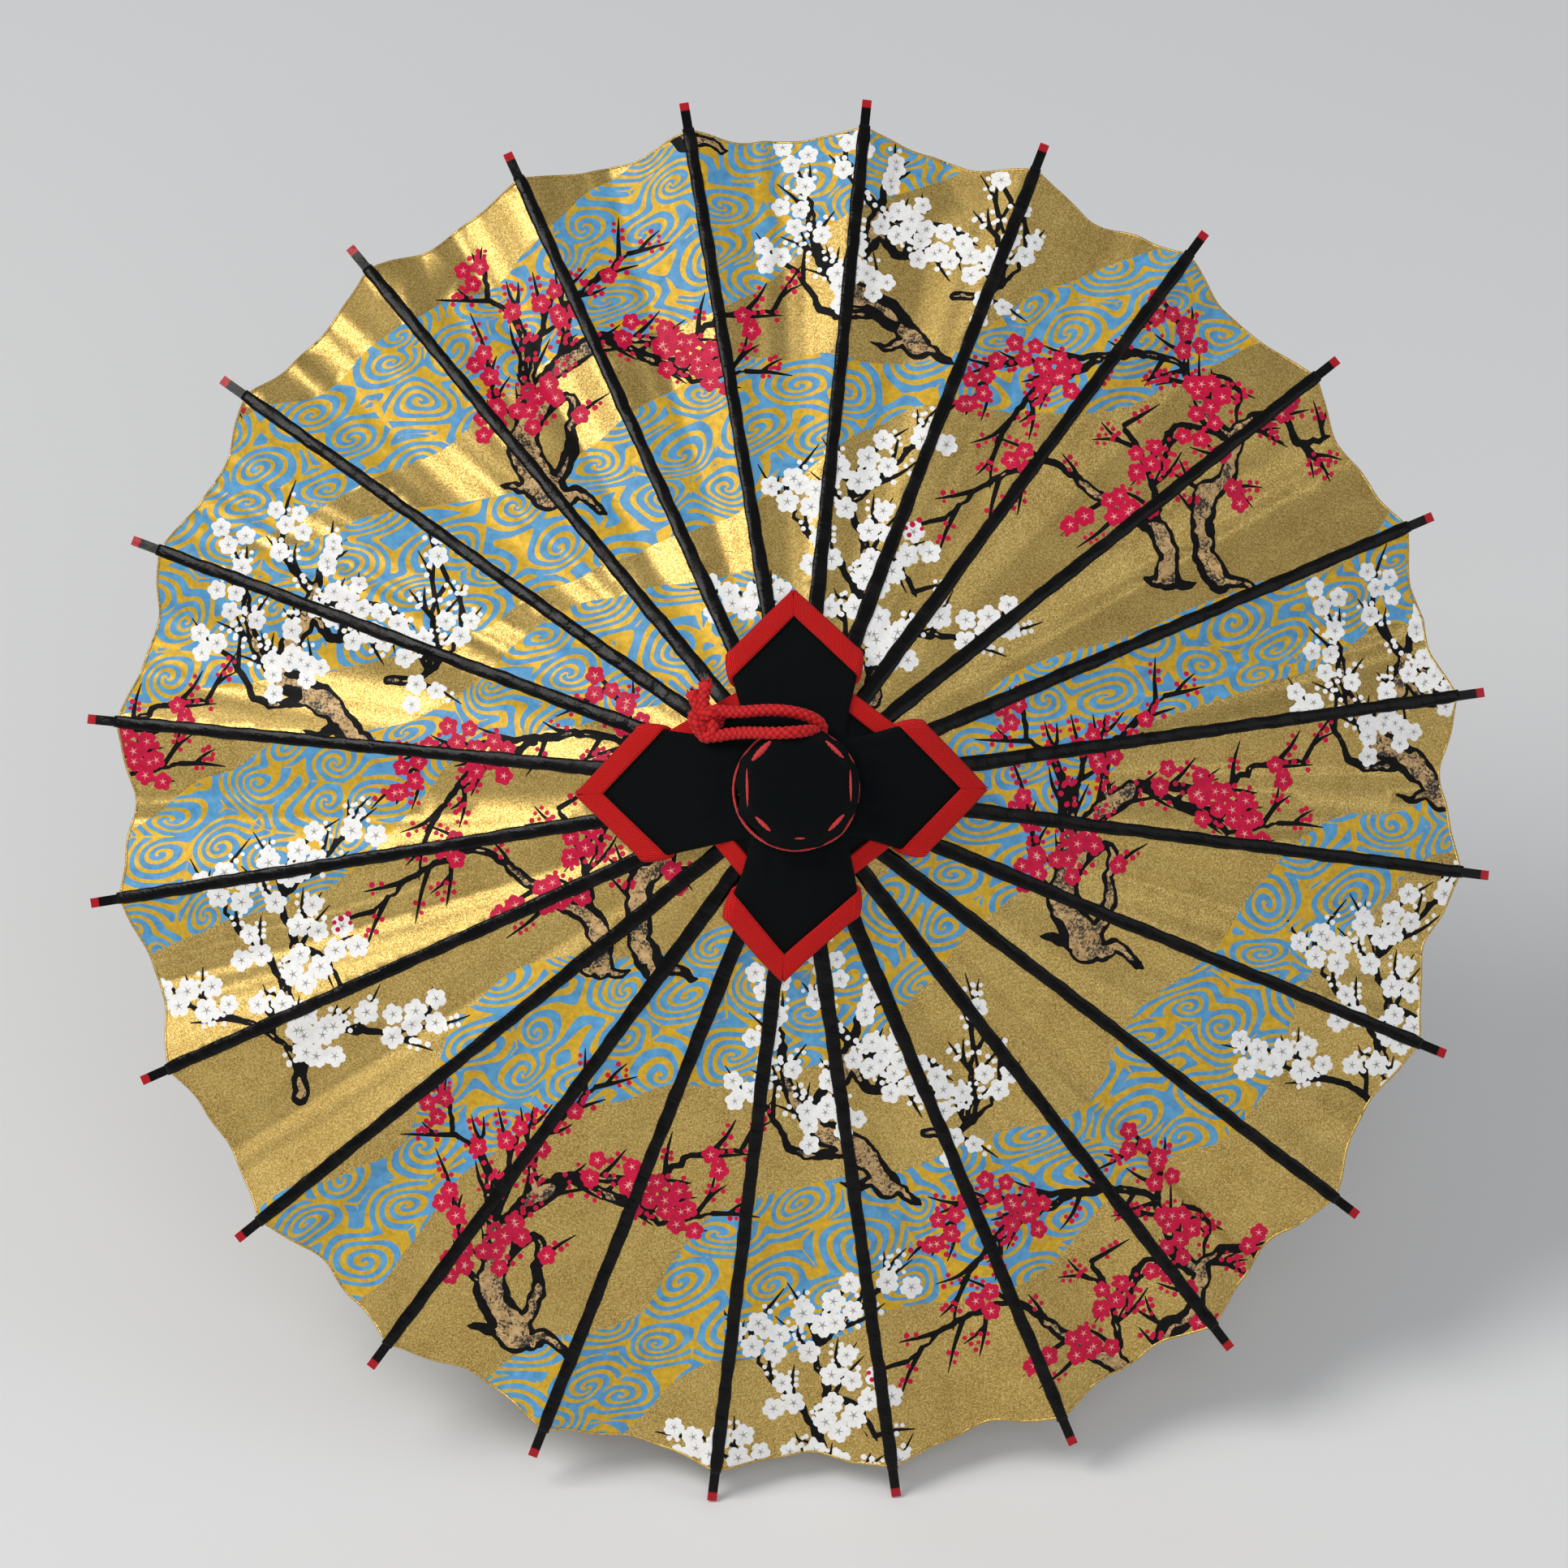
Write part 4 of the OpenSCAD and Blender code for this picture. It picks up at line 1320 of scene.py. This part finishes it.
def flap_cloth(side):
    """Grid of the flap's cloth, straight-edged where the square's edge is free."""
    reach = CORNER_REACH[side]
    q = np.concatenate([np.arange(FLAP_ROOT, reach - 4, 0.6),
                        np.linspace(reach - 4, reach - 0.05, 14)])
    wide = np.minimum(fold_half(q, reach) + 2.2 + UNDERFOLD, reach - q)
    share = np.linspace(-1, 1, 61)
    share = np.sign(share) * np.abs(share) ** 0.8
    grid_q = np.repeat(q[:, None], len(share), 1)
    grid_w = wide[:, None] * share
    points = flap_surface(side, grid_q, grid_w)
    weave = np.stack([(grid_q - grid_w) / math.sqrt(2), (grid_q + grid_w) / math.sqrt(2),
                      np.zeros_like(grid_q)], -1)
    return (points.reshape(-1, 3), grid_faces(len(q), len(share))), weave.reshape(-1, 3)


def raised(inward):
    """How far the binding stands off the cloth, across its width."""
    return BINDING_LIFT * np.sin(np.clip(inward, 0.02, 0.98) * math.pi) ** 0.35


def flap_binding(side):
    """The bias strip along both free edges, raised on the cloth and folded over its edge."""
    parts, weaves = [], []
    deep = FLAP_HALF + 6.5
    along = np.linspace(0, 1, 60)[:, None]
    inward = np.linspace(0, 1, 9)[None, :]
    w = deep * (1 - along) + 0 * inward
    q = CORNER_REACH[side] + 0.15 - w - BINDING_W * math.sqrt(2) * inward
    for hand in (-1, 1):
        points = flap_surface(side, q, hand * np.maximum(w, 1e-4))
        normal = np.cross(np.gradient(points, axis=0), np.gradient(points, axis=1))
        normal /= np.maximum(np.linalg.norm(normal, axis=-1, keepdims=True), 1e-9)
        if normal[-10, 4, 2] < 0:
            normal = -normal
        points = (points + normal * raised(inward)[..., None]).reshape(-1, 3)
        faces = grid_faces(*q.shape)
        parts.append((points, flipped(faces) if hand > 0 else faces))
        weave = np.stack(np.broadcast_arrays(along * deep * math.sqrt(2), inward * BINDING_W, 0),
                         -1)
        weaves.append(weave.reshape(-1, 3))
    return join(*parts), np.vstack(weaves)


def valley_surface(number, r, turn):
    """The cloth between two flaps, from the neck down on to the paper."""
    n = 3.75 + 2.3 * (1 - smooth(r, NECK_R, NECK_R + 7)) \
        + 0.12 * wobble(r * 0.8 + turn * 9, 80 + number)
    z = cone_z(r, n)
    root = smooth(r, NECK_R - 0.4, NECK_R + 1.6)
    return polar(r, turn, (NECK_Z - 0.3) * (1 - root) + z * root)


def valley_grid(number, columns, margin):
    """Directions across a gap, and how far out the straight edge is in each of them."""
    gap, heading, distance = VALLEYS[number]
    spread = VALLEY_SPREAD - margin
    turn = math.radians(gap) + np.linspace(-spread, spread, columns)
    return turn, distance / np.cos(turn - math.radians(heading))


def valley_cloth(number):
    turn, edge = valley_grid(number, 31, 0)
    share = np.linspace(0, 1, 22)[:, None]
    r = NECK_R - 0.5 + (edge - NECK_R + 0.5) * share
    points = valley_surface(number, r, turn + 0 * r)
    shape = points.reshape(-1, 3), grid_faces(len(share), len(turn))
    return shape, polar(r, turn, 0).reshape(-1, 3)


def valley_binding(number):
    turn, edge = valley_grid(number, 41, 0.02)
    distance = VALLEYS[number][2]
    inward = np.linspace(0, 1, 9)[:, None]
    r = edge * (1 - (SIDE_BINDING_W * (1 - inward) - 0.2) / distance)
    turns = turn + 0 * r
    points = valley_surface(number, r, turns)
    points[..., 2] += raised(inward)
    weave = np.stack([distance * (turns - turn[0]), inward * SIDE_BINDING_W + 0 * turns,
                      0 * turns], -1)
    return (points.reshape(-1, 3), grid_faces(len(inward), len(turn))), weave.reshape(-1, 3)


def octagon(turn, sharp):
    """Radius factor of a softened octagon with a flat side to the right; sharp from 0 to 1."""
    eighth = math.pi / 4
    part = (turn + eighth / 2) % eighth - eighth / 2
    straight = math.cos(eighth / 2) / np.cos(part) * 1.04
    return 1 + (straight - 1) * sharp


KNOB_PROFILE = [
    (0.001, KNOB_TOP), (3, KNOB_TOP - 0.02), (6, KNOB_TOP - 0.15), (8.4, KNOB_TOP - 0.5),
    (9.9, 15), (10.75, 14.1), (11.5, 12.4), (12.2, 10.2), (12.7, 8.2), (12.6, 6.6), (12.1, 5.4),
    (12.4, 4.6)]


def knob_surface():
    profile = curve(KNOB_PROFILE, 0.4)
    turn = np.linspace(0, 2 * math.pi, 193)[:-1]
    rng = np.random.RandomState(5)
    pleats = sum(rng.uniform(0.5, 1) * np.cos(k * turn + rng.uniform(0, 7))
                 for k in (7, 9, 11, 13, 16)) / 3
    rows, weave = [], []
    for (r, z), s in zip(profile, travelled(profile)):
        lower = float(smooth(-z, -14, -6))
        rim = float(smooth(r, 7, 10.5))
        shape = octagon(turn, rim * (1 - 0.7 * lower))
        radius = r * shape + pleats * (0.15 * rim + 0.42 * lower)
        dip = -0.28 * rim * (1 - lower) * np.abs(np.cos(4 * turn)) ** 3
        top = 0.12 * wobble(np.cos(turn) * r * 0.5 + np.sin(turn) * r * 0.3, 31) * (1 - lower)
        rows.append(polar(radius, turn, z + dip + top))
        weave.append(polar(s, turn, 0))
    shape = np.vstack(rows), flipped(grid_faces(len(rows), len(turn), around=True))
    return shape, np.vstack(weave)


def make_cap_part(name, strip_name, cloth_shape, strip_shape, looks, turn):
    """One flap or side of the cloth with its binding, shaped from the neck out over the paper.
    turn is its heading from the shaft; nothing built uses it."""
    for title, slot, (shape, weave), look, thickness, stands_for in (
            (name, "black_cloth", cloth_shape, looks[0], CLOTH_T, "cap_cloth"),
            (strip_name, "red_binding", strip_shape, looks[1], CLOTH_T + 2 * BINDING_LIFT,
             "cap_trim")):
        piece = make_piece(title, None, shape, [look], plan=weave)
        thicken(piece, thickness)
        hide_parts(stands_for)
        place(polar(NECK_R, turn, NECK_Z))
        place(polar(FREE_R, turn, NECK_Z))
        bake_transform(piece)


def make_flap(side, name, looks):
    make_cap_part(f"cap_flap_{name}", f"cap_binding_{name}", flap_cloth(side),
                  flap_binding(side), looks, math.radians(90 * side))


def make_side(number, looks):
    gap, heading, distance = VALLEYS[number]
    turn = math.radians(gap)
    make_cap_part(f"cap_side_{number + 1}", f"cap_side_binding_{number + 1}",
                  valley_cloth(number), valley_binding(number), looks, turn)


def make_cap(cloth, binding, thread):
    shape, weave = knob_surface()
    knob = make_piece("cap_knob", "root", shape, [cloth], plan=weave)
    thicken(knob, CLOTH_T)
    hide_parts("cap_cloth")
    for side, name in enumerate(("right", "top", "left", "bottom")):
        make_flap(side, name, (cloth, binding))
    for number in range(len(VALLEYS)):
        make_side(number, (cloth, binding))
    make_tie(thread)
    make_stitches(thread)


def make_tie(look):
    """Red thread wound twice round the neck."""
    turn = np.linspace(0, 2 * math.pi, 161)
    parts = []
    for k in range(2):
        loose = 0.7 * np.clip(np.cos(turn - math.radians(200)), 0, 1) \
            + 0.45 * np.exp(-((turn - math.radians(312)) / 0.35) ** 2)
        radius = NECK_R + 0.25 + loose + 0.06 * np.sin(4 * turn + k)
        ring = polar(radius, turn, NECK_Z + 0.5 + 0.5 * k + 0.1 * np.sin(turn * 2))
        ring[-1] = ring[0]
        parts.append(tube(ring, 0.27, 8, lambda along, w: 1 + 0.12 * np.sin(w * 2 + along * 5)))
    tie = make_piece("cap_tie", "root", join(*parts), [look])
    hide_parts("cap_trim")


STITCHES = [(0, 0.75, 0.25), (45, 0.6, 0.46), (90, 0.6, 0.4), (135, 0.66, 0.68),
            (180, 0.9, 0.27), (225, 0.5, 0.46), (270, 0.25, 0.2), (315, 0.55, 0.46)]
STITCH_R, STITCH_Z = 10.95, 14.15


def make_stitches(look):
    """One long running stitch along each side of the knob's octagon: heading, share of the
    side that shows, and half thickness."""
    for number, (heading, share, half) in enumerate(STITCHES, 1):
        middle = math.radians(heading)
        turn = middle + np.linspace(-0.5, 0.5, 25) * share * math.pi / 4
        line = polar(STITCH_R * octagon(turn, 0.95), turn, STITCH_Z)
        line[:, 2] += 0.1 * np.sin(np.linspace(0, math.pi, 25))
        thick = half * np.sin(np.linspace(0.15, math.pi - 0.15, 25)) ** 0.6
        shape = tube(line, thick, 10, lambda along, w: 1 + 0.1 * np.sin(w + along * 6))
        stitch = make_piece(f"knob_stitch_{number}", "root", shape, [look])
        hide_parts("cap_trim")


# ---------------------------------------------------------------- handle
WRAP_FROM, WRAP_TO, CANE_W, CANE_T = 14.0, 74.0, 2.0, 0.95


def make_wrap(look):
    """Split cane wound closely round the grip."""
    bottom = node_points("end_cap")[:, 2].min()
    turns = (WRAP_TO - WRAP_FROM) / CANE_W
    angle = np.linspace(0, 2 * math.pi * turns, int(turns * 40))
    z = bottom + WRAP_FROM + CANE_W / 2 + (WRAP_TO - WRAP_FROM - CANE_W) * angle / angle[-1]
    section = np.linspace(0, 2 * math.pi, 11)[:-1]
    lift = SHAFT_R + 0.02 + CANE_T / 2 * (1 + np.cos(section))
    flat = 0.97 * CANE_W / 2 * np.sin(section)
    radius = lift[None, :] + 0.05 * wobble(angle * 0.7, 71)[:, None]
    points = polar(radius, angle[:, None], z[:, None] + flat)
    plan = np.stack(np.broadcast_arrays(angle[:, None] * 5, 12 * flat, 0), -1)
    wrap = make_piece("grip_cane", "root",
                      (points.reshape(-1, 3), tube_faces(len(angle), len(section))), [look],
                      plan=plan.reshape(-1, 3))
    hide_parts("grip_wrap")


# ---------------------------------------------------------------- CAD nodes' finishes
def dress_cad_nodes():
    rib = lacquer_look("rib_body", tip_red=True)
    bamboo = wood_look("stretcher_bamboo", (0.40, 0.23, 0.08), (0.62, 0.41, 0.17),
                       (0.78, 0.58, 0.30), 0.42, along=False)
    shaft = wood_look("shaft_wood", (0.055, 0.024, 0.010), (0.12, 0.052, 0.020),
                      (0.20, 0.095, 0.040), 0.32, coat=0.3)
    hub = wood_look("hub_wood", (0.045, 0.024, 0.012), (0.10, 0.055, 0.026),
                    (0.17, 0.10, 0.05), 0.4, along=False)
    cap = wood_look("end_lacquer", (0.006, 0.005, 0.005), (0.012, 0.010, 0.009),
                    (0.03, 0.022, 0.016), 0.2, coat=0.5)
    thread = thread_look("hinge_thread", (0.30, 0.20, 0.10), (0.66, 0.52, 0.32))
    looks = {"shaft": shaft, "head_hub": hub, "runner": hub, "end_cap": cap,
             "head_thread": thread, "runner_thread": thread, "catch": brass_look()}
    for i in RIBS:
        looks[f"rib_{i:02d}"] = rib
        looks[f"stretcher_{i:02d}"] = bamboo
    for name, look in looks.items():
        mesh = frame["nodes"][name].data
        mesh.materials.clear()
        mesh.materials.append(look)


def paper_looks():
    """The print's colours, in the order of their numbers."""
    return [
        gold_look(),
        printed_look("paper_blue", (0.065, 0.26, 0.50), (0.125, 0.40, 0.68), per_mm=0.45),
        printed_look("paper_stream", (0.55, 0.32, 0.016), (0.80, 0.49, 0.026), metallic=0.25),
        printed_look("paper_ink", (0.003, 0.003, 0.003), (0.008, 0.007, 0.007), specular=0.1),
        bark_look(),
        printed_look("paper_red", (0.48, 0.003, 0.036), (0.68, 0.007, 0.064), per_mm=0.6,
                     specular=0.2),
        printed_look("paper_white", (0.84, 0.83, 0.80), (0.97, 0.97, 0.95), per_mm=0.7),
        printed_look("paper_red_heart", (0.80, 0.30, 0.26), (0.92, 0.52, 0.42)),
        printed_look("paper_white_heart", (0.26, 0.24, 0.23), (0.42, 0.38, 0.34)),
        underside_look()]


make_camera()
make_cord(cord_look())
make_studio()
dress_cad_nodes()
make_canopy(paper_looks())
lacquer = lacquer_look("rib_lacquer")
for rib in RIBS:
    make_rib_lacquer(rib, lacquer)
# the cloth's and the binding's deep and bright colours are painted shade in the weave's gaps and
# painted highlight on its crowns
make_cap(woven_look("black_cloth", (0.0008, 0.0011, 0.0012), (0.006, 0.0085, 0.009), 0.3, 0.012),
         woven_look("red_binding", (0.3, 0.004, 0.005), (0.9, 0.025, 0.022), 0.36, 0.03),
         thread_look("red_thread", (0.42, 0.006, 0.008), (0.80, 0.03, 0.03)))
make_wrap(cane_look())
